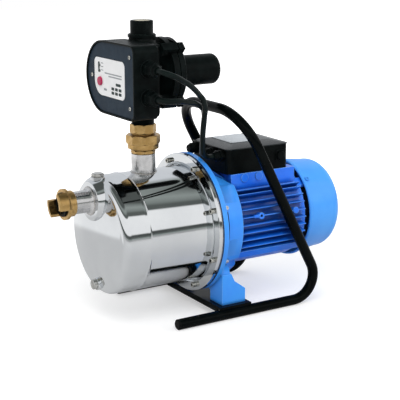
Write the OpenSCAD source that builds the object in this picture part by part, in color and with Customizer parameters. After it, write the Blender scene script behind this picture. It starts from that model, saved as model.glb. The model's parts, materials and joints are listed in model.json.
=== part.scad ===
// Booster pump set: a self-priming jet pump with a polished steel casing, a finned motor,
// a pressure controller on the discharge and a bent tube carrying frame.
// Millimetres. +X runs from the suction port to the fan, +Z is up, the floor is z = 0.
// Stations along the pump axis are measured from the clamping face of the casing flange.

/* [Overall] */
// Height of the lowest point of the casing flange above the floor
floor_gap = 26; // [24:1:50]
// Distance from the flange face back to the end of the motor housing
housing_end = 165; // [150:1:200]
// Running and assembly clearance
fit = 0.05; // [0.03:0.01:0.1]

/* [Pump casing] */
// Outer radius of the pressed steel casing
casing_r = 88; // [82:0.5:96]
// Sheet thickness of the casing
casing_wall = 2; // [1.5:0.1:2.5]
// Distance from the flange face to the flat of the casing front
casing_len = 151.5; // [130:0.5:180]
// Corner radius at the casing front
front_corner = 12; // [8:0.5:18]
// How far the casing front bulges at its middle
front_crown = 8; // [4:0.5:12]
// Width of the flange and of the clamp ring outside the casing
flange_w = 18; // [15:0.5:24]
// Distance of the flange screws from the edge of the flange
screw_inset = 9; // [6:0.5:10]
// Number of flange screws
flange_screw_n = 8; // [6:1:8]

/* [Ports] */
// Distance from the edge of the suction pad to the outside of the casing
pad_edge = 5; // [4:0.5:8]
// Radius of the flat pad that carries the suction port
pad_r = 29; // [26:0.5:30]
// Distance the pad stands in front of the casing front
pad_out = 11.5; // [10.5:0.5:16]
// Outer radius of the suction pipe stub
suction_pipe_r = 16.5; // [15:0.1:17.5]
// Length of the suction pipe stub outside the pad
suction_pipe_len = 34; // [28:1:46]
// Clear bore radius through the suction coupling
suction_bore_r = 12.5; // [11:0.1:13]
// Distance of the discharge pipe from the flange face
discharge_x = 73; // [66:1:90]
// Outer radius of the discharge pipe stub
discharge_pipe_r = 18; // [17:0.5:20]
// Length of the discharge pipe stub above the casing
discharge_len = 27; // [20:0.5:45]
// Radius of the one inch pipe thread on the controller
thread_r = 16.6; // [16:0.05:17]

/* [Motor] */
// Height of the cooling fins
fin_h = 12; // [8:0.5:16]
// Wall of the housing around the stator
housing_wall = 12; // [9:0.5:15]
// Angle between neighbouring fins in degrees
fin_pitch = 8; // [7:0.5:9]
// Radius of the stator bore in the housing
stator_r = 62; // [58:0.5:63]
// Shaft radius at the bearings
shaft_r = 8.5; // [7.5:0.25:10]
// Length of the bracket between pump and motor
bracket_len = 48; // [44:1:60]
// Distance the fan cover stands out past the housing wall
cover_out = 8.4; // [5:0.1:12]
// Length of the fan cover
cover_len = 74; // [64:1:86]
// How much narrower the fan cover gets towards its back
cover_taper = 12; // [0:0.5:14]

/* [Controller] */
// Height of the octagon on the brass tail under the controller
tail_h = 14; // [10:0.5:24]
// Half width of the controller front to its square end
ctrl_half_w = 75; // [70:1:82]
// Radius of the round end of the controller front
ctrl_round_r = 52.5; // [50:0.5:55]
// Distance of the controller front from the pipe axis
ctrl_front = 54.5; // [50:0.5:60]
// Radius of the pressure chamber behind the front
chamber_r = 52; // [48:0.5:56]
// Radius of the spring housing
spring_housing_r = 22.8; // [20:0.2:24]
// Travel of the reset button
button_travel = 2; // [1.5:0.1:2.5]

/* [Terminal box] */
// Half width of the terminal box
box_half_w = 50; // [46:1:52]
// Length of the terminal box
box_len = 112; // [96:1:118]
// Height of the terminal box without its lid
box_h = 37; // [34:1:44]
// Height of the terminal box lid
lid_t = 6.5; // [4:0.5:12]
// Width of the slope round the flat top of the lid
lid_slope = 22; // [8:1:30]

/* [Frame] */
// Outer diameter of the frame tube
tube_d = 16; // [14:0.5:18]
// Gap between the cooling fins and the frame tubes
side_gap = 0.25; // [0.25:0.25:12]
// Height of the handle centre line above the floor
handle_h = 308; // [290:1:330]
// Lean of the frame legs from the vertical in degrees
leg_lean = 27.9; // [24:0.1:30]

/* [Hidden] */

// Radii about the pump axis and its height
flange_r = casing_r + flange_w;
screw_circle_r = flange_r - screw_inset;
suction_rise = casing_r - pad_r - pad_edge;
discharge_rise = casing_r + discharge_len;
axis_h = floor_gap + flange_r;
housing_r = stator_r + housing_wall;
fin_r = housing_r + fin_h;
cover_r = housing_r + cover_out;

// Stations along the pump axis
pad_face = casing_len + pad_out;
claw_len = 14;
collar_t = 5;
neck_len = 10;
socket_depth = 7;
coupling_len = claw_len + collar_t + neck_len;
front_reach = pad_face + suction_pipe_len - socket_depth + coupling_len;
shield_t = 8;
cover_x = housing_end + shield_t + 2;
rear_reach = cover_x + cover_len;
flange_x = (front_reach - rear_reach) / 2;
plate_t = 2;
bracket_flange_t = 8;
bracket_face = plate_t + bracket_flange_t;

// Casing flange
flare_len = 12;
flare_r = 4;
ring_t = 4.5;
lip_r = flange_r - 2;
ring_bore_r = casing_r + flare_r + 0.4;
ring_face = casing_wall + ring_t;
screw_r = 2.5;
screw_head_r = 4.25;
screw_head_h = 6;

// Plugs
plug_x = casing_len - 3;
drain_face = casing_len + 4;
drain_drop = casing_r - 14.5;

// Bearings
bearing_r = 20;
bearing_w = 12;
front_bearing_x = bracket_len - bearing_w;
rear_bearing_x = housing_end - bearing_w + 4;
shaft_end_r = shaft_r - 1.5;

// Motor section
drum_wall = 8;
drum_r = casing_r;
drum_end = bracket_len - 1;
relief_drop = 26;
relief_wall = 6;
pad_half_w = box_half_w + 2;
pad_top = max(housing_r + 3, drum_r - 11);
fin_t = 2.4;
fin_first = 145;
fin_n = 8;
rod_circle_r = stator_r + (housing_r - stator_r) / 2;
rod_r = 2.5;
lug_w = 16;
cover_wall = 1.5;
cover_round = 22;
cover_screw_x = cover_x + 10;

// Rotor pieces
core_x = bracket_len + 22;
core_len = housing_end - bracket_len - 47;
rotor_r = 35;
air_gap = 0.5;
fan_x = cover_x + 15;
fan_r = 64;
impeller_x = -30;
impeller_r = 58;
impeller_w = 14;
nut_x = impeller_x - 9;
seat_x = -3;

// Terminal box
box_x = bracket_len - 6;
box_z = axis_h + pad_top;
box_wall = 2.5;
lid_lip = 1.5;
gland_z = box_z + box_h - 9;
gland_y = [-36, -12, 36];
gland_r = 8;
gland_len = 16;
box_plug_x = box_x + box_len - 15;
box_plug_rise = 20;
plug_boss_t = 1.4;
lead_r = 4;

// Controller, measured from the discharge pipe axis
ctrl_x = flange_x - discharge_x;
ctrl_back = 12;
ctrl_depth = ctrl_front - ctrl_back;
ctrl_gland_x = ctrl_x - ctrl_front + 23;
ctrl_gland_dz = 20;
ctrl_gland_len = 24.5;
ctrl_cavity = 33;
round_y = ctrl_half_w - ctrl_round_r - 2.5;
cover_inset = 2;
cover_t = 3;
board_depth = 14.8;
switch_depth = 12;
chamber_x0 = 25;
chamber_x1 = 34;
chamber_bore_x = 26;
chamber_lug_r = chamber_r + 8;
chamber_gap = 2.2;
column_r = 27;
column_top = 46;
housing_flange_t = 10;
chamber_bore_r = 34;
flow_bore_r = 12.5;
seat_drop = 31;
neck_r = thread_r + 2.4;
neck_top = 61;
thread_h = 19;
inlet_drop = 69.5;
ctrl_screw_z = ctrl_round_r - 17;
button_y = 30;
button_dz = -7;
button_r = 6.5;
lens_dz = [16, 8];

// Union, and the controller that stands on it
union_z = axis_h + discharge_rise;
nipple_r = 14;
nut_z = union_z + 6.5;
nut_collar_h = 8.5;
nut_h = 21.5;
tail_z = nut_z + nut_h + 2;
tail_flat_r = thread_r + 1.4;
ctrl_z = tail_z + tail_h + inlet_drop;
chamber_z = ctrl_z + 3;
spring_tube_len = 77;

// Frame
tube_r = tube_d / 2;
tube_bore_r = tube_r - 1.5;
side_y = fin_r + side_gap + tube_r;
skid_front = -69;
rear_bend_r = 36;
top_bend_r = 60;
leg_foot_x = 202.2;
leg_slope = tan(leg_lean);
bend_x = leg_foot_x - leg_slope * (tube_r + rear_bend_r) - rear_bend_r / cos(leg_lean);
bend_end_x = bend_x + rear_bend_r * cos(leg_lean);
bend_end_z = tube_r + rear_bend_r * (1 + sin(leg_lean));
leg_len = (handle_h - bend_end_z) / cos(leg_lean) - top_bend_r;
bar_x = 2;
bar_w = 55;
bar_top = tube_d + 4;
bar_t = 4;
bar_lip = 5;
foot_x0 = 10;
foot_x1 = 51;
foot_z = bar_top;
foot_y0 = 54;
foot_y1 = side_y - 6.25;
foot_h = 21;
foot_screw_x = 39;
foot_screw_y = (foot_y0 + foot_y1) / 2;

// Route points of the two leads in the frame of the part
upper_route = [[-119, -95, 380.5], [-119, -103, 380.5], [-118, -110, 380],
    [-115, -116, 378.5], [-109, -121, 376], [-100, -122, 372], [-90.5, -120, 367],
    [-80, -117, 361.5], [-70, -112, 355], [-61, -107, 348.5], [-53, -102, 342],
    [-47.5, -101, 336.5], [-43.5, -98, 330.5], [-37.5, -91, 319.5], [-33.5, -82, 306],
    [-27.5, -69, 285], [-20.5, -57, 264], [-15.5, -50, 251.5], [-9, -43.5, 243],
    [-1, -38.5, 238.5], [8, -36, 237], [16, -36, 237]];
lower_route = [[-119, -95, 340.5], [-119, -102, 340.5], [-118, -108, 340.5],
    [-114.5, -113, 340.5], [-106.5, -116, 340], [-96, -116, 339.5], [-86.5, -113, 338],
    [-75, -108, 335.5], [-64, -102, 333], [-52.5, -93.5, 329], [-42.5, -85, 324.5],
    [-34.5, -78, 320], [-26.5, -69, 314.5], [-21, -62, 307.5], [-17.5, -57, 301],
    [-14, -50, 290.5], [-11.5, -44, 279], [-8.5, -38, 268], [-6, -33, 258.5],
    [-3, -27, 249.5], [1.5, -20, 242], [6, -14.5, 238], [11, -12, 237], [16, -12, 237]];

// Colours
steel = "#d9dcdf";
blue = "#2f7fe6";
light_blue = "#6db4f2";
black = "#1a1c1e";
slate = "#3c4a5a";
brass = "#c9a04e";

// Points of an arc from angle a0 to angle a1
function arc(cx, cy, r, a0, a1, n) =
    [for (i = [0:n]) let (a = a0 + (a1 - a0) * i / n) [cx + r * cos(a), cy + r * sin(a)]];

// Points of a quarter ellipse that turns from the cylinder out to the flange
function flare(r0, dr, x0, dx, n) =
    [for (i = [0:n]) let (a = 90 * i / n) [r0 + dr * (1 - cos(a)), x0 + dx * sin(a)]];

// Children are drawn with their z along the pump axis, at a station from the flange face
module on_axis(x = 0) {
    translate([flange_x + x, 0, axis_h]) rotate([0, 90, 0]) children();
}

// Children are placed on a ring about their z, at angle a measured from +Y towards +Z
module at_angle(a, r) {
    rotate([0, 0, a + 90]) translate([r, 0, 0]) children();
}

// Ring of rectangular section
module ring(r_out, r_in, h) {
    difference() {
        cylinder(h = h, r = r_out, $fn = 96);
        translate([0, 0, -1]) cylinder(h = h + 2, r = r_in, $fn = 96);
    }
}

// Regular prism with its corners cut by a cone at each end
module nut_body(n, flat_r, h) {
    corner_r = flat_r / cos(180 / n);
    intersection() {
        rotate([0, 0, 180 / n]) cylinder(h = h, r = corner_r, $fn = n);
        union() {
            cylinder(h = 2, r1 = corner_r - 1.6, r2 = corner_r + 0.4, $fn = 72);
            translate([0, 0, 2]) cylinder(h = h - 4, r = corner_r + 0.4, $fn = 72);
            translate([0, 0, h - 2])
                cylinder(h = 2, r1 = corner_r + 0.4, r2 = corner_r - 1.6, $fn = 72);
        }
    }
}

// Socket head cap screw with its head at the origin and its shank along -z
module cap_screw(r, head_r, head_h, length) {
    difference() {
        union() {
            cylinder(h = head_h - 0.6, r = head_r, $fn = 40);
            translate([0, 0, head_h - 0.6])
                cylinder(h = 0.6, r1 = head_r, r2 = head_r - 0.6, $fn = 40);
            translate([0, 0, -length]) cylinder(h = length + 0.5, r = r, $fn = 24);
        }
        translate([0, 0, head_h * 0.45]) cylinder(h = head_h, r = r * 0.95, $fn = 6);
    }
}

// Pan head screw with its head seat at the origin and its shank along -z
module pan_screw(r, head_r, head_h, length) {
    difference() {
        union() {
            cylinder(h = head_h * 0.6, r = head_r, $fn = 40);
            translate([0, 0, head_h * 0.6])
                cylinder(h = head_h * 0.4, r1 = head_r, r2 = head_r * 0.7, $fn = 40);
            translate([0, 0, -length]) cylinder(h = length + 0.5, r = r, $fn = 24);
        }
        translate([-head_r * 0.7, -0.4, head_h * 0.5]) cube([head_r * 1.4, 0.8, head_h]);
        translate([-0.4, -head_r * 0.7, head_h * 0.5]) cube([0.8, head_r * 1.4, head_h]);
    }
}

// Height of the casing front at radius r, as a negative station
function crown_x(r, flat_r) = -casing_len - front_crown * (1 - pow(r / flat_r, 2));

// Solid of revolution inside the casing outline, shrunk by t
module casing_solid(t, mouth) {
    flat_r = casing_r - front_corner;
    bead_x = -110;
    front = [for (i = [0:8]) let (r = flat_r * i / 8) [r, crown_x(r, flat_r) + t]];
    corner = arc(flat_r, -casing_len + front_corner, front_corner - t, 270, 360, 8);
    bead = t > 0 ? [] : [[casing_r, bead_x - 3], [casing_r + 0.9, bead_x - 1.5],
        [casing_r + 0.9, bead_x + 1.5], [casing_r, bead_x + 3]];
    outlet = flare(casing_r - t, flare_r + t, -flare_len - casing_wall, flare_len + t, 8);
    rotate_extrude($fn = 120)
        polygon(concat(front, [for (i = [1:8]) corner[i]], bead, outlet, mouth));
}

module pump_casing() {
    pad_root = casing_len - 1;
    color(steel) difference() {
        union() {
            on_axis() casing_solid(0, [[lip_r, -casing_wall], [lip_r, 0], [0, 0]]);
            on_axis(-pad_face) translate([-suction_rise, 0, 0])
                cylinder(h = pad_face - pad_root, r1 = pad_r, r2 = pad_r + 4, $fn = 96);
            translate([flange_x - plug_x, 0, axis_h + casing_r - 10])
                cylinder(h = 10.3, r = 10.5, $fn = 48);
            on_axis(-drain_face) translate([drain_drop, 0, 0])
                cylinder(h = 9, r = 9.5, $fn = 48);
        }
        on_axis() casing_solid(casing_wall, [[casing_r + flare_r, 1], [0, 1]]);
        on_axis(-pad_face + casing_wall) translate([-suction_rise, 0, 0])
            cylinder(h = pad_face - pad_root + 2, r1 = pad_r - casing_wall,
                r2 = pad_r + 2.5, $fn = 96);
        on_axis(-pad_face - 1) translate([-suction_rise, 0, 0])
            cylinder(h = 10, r = suction_pipe_r + fit, $fn = 64);
        translate([flange_x - discharge_x, 0, axis_h + casing_r - 20])
            cylinder(h = 40, r = discharge_pipe_r + fit, $fn = 64);
        translate([flange_x - plug_x, 0, axis_h + casing_r - 20])
            cylinder(h = 40, r = 6, $fn = 40);
        on_axis(-casing_len - 10) translate([drain_drop, 0, 0])
            cylinder(h = 20, r = 5, $fn = 40);
        on_axis(-5) for (i = [0:flange_screw_n - 1])
            at_angle(22.5 + i * 360 / flange_screw_n, screw_circle_r)
                cylinder(h = 10, r = screw_r + 0.3, $fn = 24);
    }
}

module suction_stub() {
    color(steel) on_axis(-pad_face - suction_pipe_len + 0.1) translate([-suction_rise, 0, 0])
        difference() {
            union() {
                cylinder(h = suction_pipe_len + 8, r = suction_pipe_r, $fn = 64);
                translate([0, 0, suction_pipe_len - 5.1])
                    cylinder(h = 5, r1 = suction_pipe_r, r2 = suction_pipe_r + 5, $fn = 64);
            }
            translate([0, 0, -1])
                cylinder(h = suction_pipe_len + 10, r = suction_pipe_r - 3, $fn = 64);
        }
}

module discharge_stub() {
    bottom = casing_r - 12;
    collar_z = sqrt(pow(casing_r, 2) - pow(discharge_pipe_r + 5, 2)) - 1;
    color(steel) translate([flange_x - discharge_x, 0, axis_h]) difference() {
        union() {
            translate([0, 0, bottom])
                cylinder(h = discharge_rise - bottom, r = discharge_pipe_r, $fn = 64);
            translate([0, 0, collar_z])
                cylinder(h = 9, r1 = discharge_pipe_r + 5, r2 = discharge_pipe_r, $fn = 64);
        }
        translate([0, 0, bottom - 1])
            cylinder(h = discharge_rise, r = nipple_r + fit, $fn = 64);
        translate([discharge_x, 0, 0]) rotate([0, 90, 0]) translate([0, 0, -discharge_x - 40])
            difference() {
                cylinder(h = 80, r = casing_r + fit, $fn = 120);
                translate([-casing_r, 0, 40])
                    rotate([0, 90, 0]) translate([0, 0, -30])
                    cylinder(h = 90, r = discharge_pipe_r + fit / 2, $fn = 64);
            }
    }
}

module filler_plug() {
    color(steel) translate([flange_x - plug_x, 0, axis_h + casing_r + 0.3]) union() {
        translate([0, 0, -8]) cylinder(h = 9, r = 6 - fit, $fn = 40);
        cylinder(h = 1.2, r = 9.2, $fn = 48);
        translate([0, 0, 1]) nut_body(6, 8, 7.5);
    }
}

module drain_plug() {
    color(steel) on_axis(-drain_face) translate([drain_drop, 0, 0]) union() {
        translate([0, 0, -1]) cylinder(h = 10, r = 5 - fit, $fn = 40);
        translate([0, 0, -1.2]) cylinder(h = 1.2, r = 8.5, $fn = 48);
        translate([0, 0, -8.5]) cylinder(h = 8, r = 7.5, $fn = 48);
        translate([0, 0, -9.2]) cylinder(h = 0.7, r1 = 6.8, r2 = 7.5, $fn = 48);
    }
}

// Claw coupling: socket for the pipe, collar and two claws that reach past the seal
module suction_coupling() {
    socket_z = coupling_len - socket_depth;
    neck_out = suction_pipe_r + 2.5;
    claw_in = suction_bore_r + 5.5;
    claw_out = claw_in + 5.5;
    color(brass) on_axis(-front_reach) translate([-suction_rise, 0, 0]) difference() {
        union() {
            translate([0, 0, claw_len]) cylinder(h = collar_t, r = claw_out - 1, $fn = 72);
            translate([0, 0, claw_len + 1])
                cylinder(h = coupling_len - claw_len - 2, r = neck_out, $fn = 64);
            translate([0, 0, coupling_len - 1])
                cylinder(h = 1, r1 = neck_out, r2 = neck_out - 0.8, $fn = 64);
            for (s = [0, 180]) rotate([0, 0, s + 65]) claw(claw_in, claw_out, claw_len + 1);
        }
        translate([0, 0, -1]) cylinder(h = 60, r = suction_bore_r, $fn = 64);
        translate([0, 0, socket_z])
            cylinder(h = 30, r = suction_pipe_r + fit, $fn = 64);
        translate([0, 0, claw_len - 1])
            cylinder(h = 3, r = suction_bore_r + 4.5, $fn = 64);
    }
}

// One claw: a sector of a ring with a slot that the mating claw hooks under
module claw(r_in, r_out, h) {
    half = 34;
    difference() {
        rotate([0, 0, -half]) rotate_extrude(angle = 2 * half, $fn = 96)
            polygon([[r_in, 0], [r_out - 1.5, 0], [r_out, 1.5], [r_out, h], [r_in, h]]);
        rotate([0, 0, half - 22]) translate([0, 0, h - 6]) rotate_extrude(angle = 30, $fn = 96)
            translate([r_in - 1, 0]) square([3.5, 4.4]);
    }
}

module coupling_seal() {
    color(black) on_axis(-front_reach + 11) translate([-suction_rise, 0, 0]) difference() {
        union() {
            translate([0, 0, 0.6]) cylinder(h = 2.1, r = suction_bore_r + 4.9, $fn = 72);
            cylinder(h = 0.6, r1 = suction_bore_r + 4.2, r2 = suction_bore_r + 4.9, $fn = 72);
            translate([0, 0, 2.7]) cylinder(h = 2.2, r = suction_bore_r + 4.4, $fn = 72);
        }
        translate([0, 0, -1]) cylinder(h = 8, r = suction_bore_r + 0.5, $fn = 64);
    }
}

module union_nipple() {
    color(brass) translate([ctrl_x, 0, union_z]) difference() {
        union() {
            translate([0, 0, -14]) cylinder(h = 15, r = nipple_r, $fn = 64);
            nut_body(8, nipple_r + 2.8, 5.6);
            cylinder(h = tail_z - union_z - 2, r = nipple_r, $fn = 64);
        }
        translate([0, 0, -16]) cylinder(h = 60, r = 11, $fn = 64);
    }
}

module union_nut() {
    color(brass) translate([ctrl_x, 0, nut_z]) difference() {
        union() {
            cylinder(h = 1.5, r1 = 20, r2 = 23, $fn = 64);
            translate([0, 0, 1.5]) cylinder(h = nut_collar_h, r = 23, $fn = 64);
            translate([0, 0, nut_collar_h]) nut_body(8, 23.5, nut_h - nut_collar_h);
        }
        translate([0, 0, -1]) cylinder(h = nut_h + 2, r = nipple_r + 0.3, $fn = 64);
    }
}

module union_tail() {
    color(brass) translate([ctrl_x, 0, tail_z]) difference() {
        union() {
            translate([0, 0, -1.7]) cylinder(h = 4.5, r = tail_flat_r - 1, $fn = 64);
            translate([0, 0, 0.5]) nut_body(8, tail_flat_r, tail_h - 0.5);
        }
        translate([0, 0, -3]) cylinder(h = 60, r = 11, $fn = 64);
        translate([0, 0, 2]) cylinder(h = 60, r = thread_r + fit, $fn = 64);
    }
}

module clamp_ring() {
    color(steel) on_axis(-ring_face) difference() {
        rotate_extrude($fn = 120) polygon([[ring_bore_r, 0.8], [ring_bore_r + 0.8, 0],
            [flange_r - 1, 0], [flange_r, 1], [flange_r, ring_t], [ring_bore_r, ring_t]]);
        translate([0, 0, -1]) for (i = [0:flange_screw_n - 1])
            at_angle(22.5 + i * 360 / flange_screw_n, screw_circle_r)
                cylinder(h = 10, r = screw_r + 0.3, $fn = 24);
    }
}

module casing_gasket() {
    color(black) on_axis(-1.55) rotate_extrude($fn = 96)
        translate([casing_r - casing_wall + 1.2, 0]) circle(r = 1.5, $fn = 24);
}

module flange_screws() {
    color(steel) on_axis(-ring_face) for (i = [0:flange_screw_n - 1])
        at_angle(22.5 + i * 360 / flange_screw_n, screw_circle_r)
            rotate([180, 0, 0]) cap_screw(screw_r, screw_head_r, screw_head_h, 14);
}

module seal_plate() {
    spigot_r = casing_r - casing_wall - 0.4;
    color("silver") on_axis() difference() {
        union() {
            cylinder(h = plate_t, r = lip_r, $fn = 120);
            translate([0, 0, -5]) ring(spigot_r, spigot_r - 2, 6);
            translate([0, 0, seat_x]) cylinder(h = 9, r = 18, $fn = 64);
        }
        translate([0, 0, seat_x - 1]) cylinder(h = 8, r = 14 + fit, $fn = 64);
        translate([0, 0, -10]) cylinder(h = 30, r = shaft_end_r + 2, $fn = 64);
        translate([0, 0, -1]) for (i = [0:flange_screw_n - 1])
            at_angle(22.5 + i * 360 / flange_screw_n, screw_circle_r)
                cylinder(h = 10, r = screw_r + 0.3, $fn = 24);
    }
}

// Jet: suction elbow, nozzle chamber and the throat that feeds the impeller eye
module ejector() {
    elbow_x = -pad_face + 20;
    back_x = impeller_x - 18;
    color("#3a3d40") on_axis() difference() {
        union() {
            translate([0, 0, elbow_x + 14])
                cylinder(h = back_x - elbow_x - 14, r1 = 15, r2 = 21, $fn = 64);
            translate([0, 0, elbow_x - 1]) cylinder(h = 16, r = 20, $fn = 64);
            translate([-suction_rise, 0, elbow_x - 7.5]) cylinder(h = 24, r = 16, $fn = 64);
            rotate([0, -90, 0]) translate([elbow_x + 6, 0, 0])
                cylinder(h = suction_rise, r = 11, $fn = 48);
        }
        translate([0, 0, elbow_x + 22]) cylinder(h = 200, r1 = 6, r2 = 22, $fn = 64);
        translate([0, 0, elbow_x + 2]) cylinder(h = 22, r1 = 14, r2 = 5, $fn = 64);
        translate([-suction_rise, 0, elbow_x - 9]) cylinder(h = 19, r = 12, $fn = 64);
        rotate([0, -90, 0]) translate([elbow_x + 6, 0, -2])
            cylinder(h = suction_rise + 2, r = 7.5, $fn = 48);
    }
}

module diffuser() {
    front_x = impeller_x - 18;
    out_r = casing_r - casing_wall - 0.5;
    color("#5a5d60") on_axis(front_x) difference() {
        union() {
            cylinder(h = 3, r = out_r, $fn = 96);
            translate([0, 0, 2]) difference() {
                for (i = [0:8]) rotate([0, 0, i * 40])
                    translate([impeller_r + 4, 6, 0]) rotate([0, 0, 62]) cube([20, 2.5, 30]);
                translate([0, 0, -1]) cylinder(h = 40, r = impeller_r + 2.5, $fn = 96);
            }
            translate([0, 0, 2]) ring(out_r, out_r - 3, 32);
        }
        translate([0, 0, -1]) cylinder(h = 6, r = 16, $fn = 64);
        translate([0, 0, -1]) ring(casing_r + 20, out_r, 60);
    }
}

module impeller() {
    hub_r = shaft_end_r + 5;
    color("#b98a3a") on_axis(impeller_x) difference() {
        union() {
            translate([0, 0, impeller_w - 2.5]) cylinder(h = 2.5, r = impeller_r, $fn = 96);
            ring(impeller_r, 17, 2.5);
            translate([0, 0, -4]) ring(19.5, 17, 5);
            cylinder(h = impeller_w + 3, r = hub_r, $fn = 48);
            linear_extrude(impeller_w - 1) intersection() {
                for (i = [0:5]) rotate([0, 0, i * 60]) translate([0, 33]) difference() {
                    circle(r = 36, $fn = 96);
                    circle(r = 33.6, $fn = 96);
                }
                difference() {
                    circle(r = impeller_r, $fn = 96);
                    circle(r = 18.5, $fn = 96);
                    translate([0, -100]) square([0.01, 0.01]);
                }
            }
        }
        translate([0, 0, -6]) cylinder(h = 40, r = shaft_end_r, $fn = 48);
    }
}

module impeller_nut() {
    color("silver") on_axis(nut_x) difference() {
        nut_body(6, 9.5, 8.8);
        translate([0, 0, -1]) cylinder(h = 20, r = shaft_end_r - 1, $fn = 48);
    }
}

module shaft_seal_seat() {
    color("#e8e4da") on_axis(seat_x) difference() {
        cylinder(h = 7, r = 14, $fn = 64);
        translate([0, 0, -1]) cylinder(h = 20, r = shaft_end_r + 1.5, $fn = 64);
    }
}

module shaft_seal_ring() {
    color("#2c2e30") on_axis(impeller_x + impeller_w + 3) difference() {
        union() {
            cylinder(h = 4, r = 12, $fn = 64);
            translate([0, 0, 4]) cylinder(h = seat_x - impeller_x - impeller_w - 3 - 4 - fit,
                r = 10.5, $fn = 64);
        }
        translate([0, 0, -1]) cylinder(h = 30, r = shaft_end_r, $fn = 48);
    }
}

// Outline of one bracket leg seen along the pump axis, with z measured from the floor
module leg_outline() {
    join_y = drum_r * cos(40);
    polygon([[foot_y0, foot_z], [foot_y1, foot_z], [foot_y1, foot_z + foot_h],
        [foot_y1 - 1.5, foot_z + foot_h + 18], [join_y + 14, axis_h - drum_r * sin(40)],
        [join_y + 2, axis_h - drum_r * sin(36)], [join_y - 14, axis_h - drum_r * sin(40) + 2],
        [foot_y0 - 18, axis_h - drum_r + 14], [foot_y0 - 12, foot_z + foot_h + 2],
        [foot_y0, foot_z + foot_h - 6]]);
}

// Toe of a bracket foot seen from the side, with its slope up to the leg
module toe_outline() {
    polygon([[foot_x0, foot_z], [foot_x1, foot_z], [foot_x1, foot_z + foot_h],
        [foot_x0 + 22, foot_z + foot_h + 14], [foot_x0 + 16, foot_z + foot_h + 26],
        [foot_x0, foot_z + foot_h + 26]]);
}

// Band along the sloping relief on top of the drum, from z0 above its plane and h high
module relief_outline(z0, h) {
    low = drum_r - relief_drop + z0;
    high = drum_r - 1 + z0;
    polygon([[bracket_face - 1, high], [bracket_len + 1, low], [bracket_len + 1, low + h],
        [bracket_face - 1, high + h]]);
}

// Outline seen from the side, made as wide as the drum
module across() {
    translate([flange_x, 0, axis_h]) rotate([90, 0, 0])
        linear_extrude(2 * drum_r, center = true) children();
}

module bracket() {
    hub_r = bearing_r + 7;
    slit_z = [-12, 30];
    color(blue) difference() {
        union() {
            on_axis(plate_t) ring(flange_r, 60, bracket_flange_t);
            difference() {
                union() {
                    on_axis(plate_t) ring(drum_r, drum_r - drum_wall, drum_end - plate_t);
                    on_axis(bracket_len - 8)
                        cylinder(h = drum_end - bracket_len + 8, r = drum_r - 1, $fn = 96);
                }
                across() relief_outline(0, 40);
            }
            intersection() {
                on_axis(bracket_face - 1)
                    cylinder(h = drum_end - bracket_face + 1, r = drum_r - 1, $fn = 96);
                across() relief_outline(-relief_wall, relief_wall);
            }
            on_axis(bracket_len - 5) cylinder(h = 5, r = housing_r + 2, $fn = 96);
            on_axis(front_bearing_x - 4) cylinder(h = bearing_w + 4, r = hub_r, $fn = 64);
            for (s = [-1, 1]) {
                translate([flange_x + foot_x0, 0, 0]) mirror([0, s < 0 ? 1 : 0, 0])
                    rotate([90, 0, 90]) linear_extrude(16) leg_outline();
                translate([flange_x, s > 0 ? foot_y1 : -foot_y0, 0])
                    rotate([90, 0, 0]) linear_extrude(foot_y1 - foot_y0) toe_outline();
                for (p = screw_places()) on_axis(p[0]) at_angle(s > 0 ? p[1] : 180 - p[1], 0)
                    rotate([0, 90, 0]) cylinder(h = drum_r + 1, r = 4.5, $fn = 32);
            }
        }
        difference() {
            union() {
                on_axis(bracket_face) cylinder(h = front_bearing_x - 4 - bracket_face,
                    r = drum_r - drum_wall, $fn = 96);
                on_axis(front_bearing_x - 5) difference() {
                    cylinder(h = 5 + bearing_w - 8, r = drum_r - drum_wall, $fn = 96);
                    translate([0, 0, -1]) cylinder(h = 30, r = hub_r, $fn = 64);
                }
            }
            across() relief_outline(-relief_wall, 60);
        }
        on_axis(front_bearing_x) cylinder(h = 40, r = bearing_r + fit / 2, $fn = 64);
        on_axis(-5) cylinder(h = 80, r = shaft_r + 2, $fn = 48);
        for (s = [-1, 1]) translate([flange_x + 21, s * (drum_r + 4), axis_h + slit_z[0]])
            translate([-1.8, -20, 0]) cube([3.6, 40, slit_z[1] - slit_z[0]]);
        on_axis(plate_t - 1) for (i = [0:flange_screw_n - 1])
            at_angle(22.5 + i * 360 / flange_screw_n, screw_circle_r)
                cylinder(h = bracket_flange_t + 3, r = screw_r + 0.05, $fn = 24);
        on_axis(bracket_len - 9) for (i = [0:3])
            at_angle(45 + i * 90, rod_circle_r) cylinder(h = 20, r = rod_r + 0.05, $fn = 24);
        for (s = [-1, 1]) translate([flange_x + foot_screw_x, s * foot_screw_y, foot_z - 1])
            cylinder(h = foot_h + 30, r = 4.4, $fn = 32);
        for (s = [-1, 1]) translate([flange_x + foot_screw_x, s * foot_screw_y,
            foot_z + foot_h - 8]) cylinder(h = 50, r = 9.5, $fn = 48);
        for (s = [-1, 1]) for (p = screw_places())
            on_axis(p[0]) at_angle(s > 0 ? p[1] : 180 - p[1], 0)
                rotate([0, 90, 0]) translate([0, 0, drum_r - 12])
                    cylinder(h = 20, r = 1.6, $fn = 24);
    }
}

// Station and angle of the small radial screws beside the bracket slits
function screw_places() = [[21, 24], [26, -33]];

module bracket_screws() {
    color(steel) for (s = [-1, 1]) for (p = screw_places())
        on_axis(p[0]) at_angle(s > 0 ? p[1] : 180 - p[1], 0)
            rotate([0, 90, 0]) translate([0, 0, drum_r + 1]) pan_screw(1.5, 3, 2.2, 6);
}

// Angles of the fins of one side, with a close pair under the terminal pad
function fin_angles() =
    concat([fin_first - 5], [for (i = [0:fin_n - 1]) fin_first + i * fin_pitch]);

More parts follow.
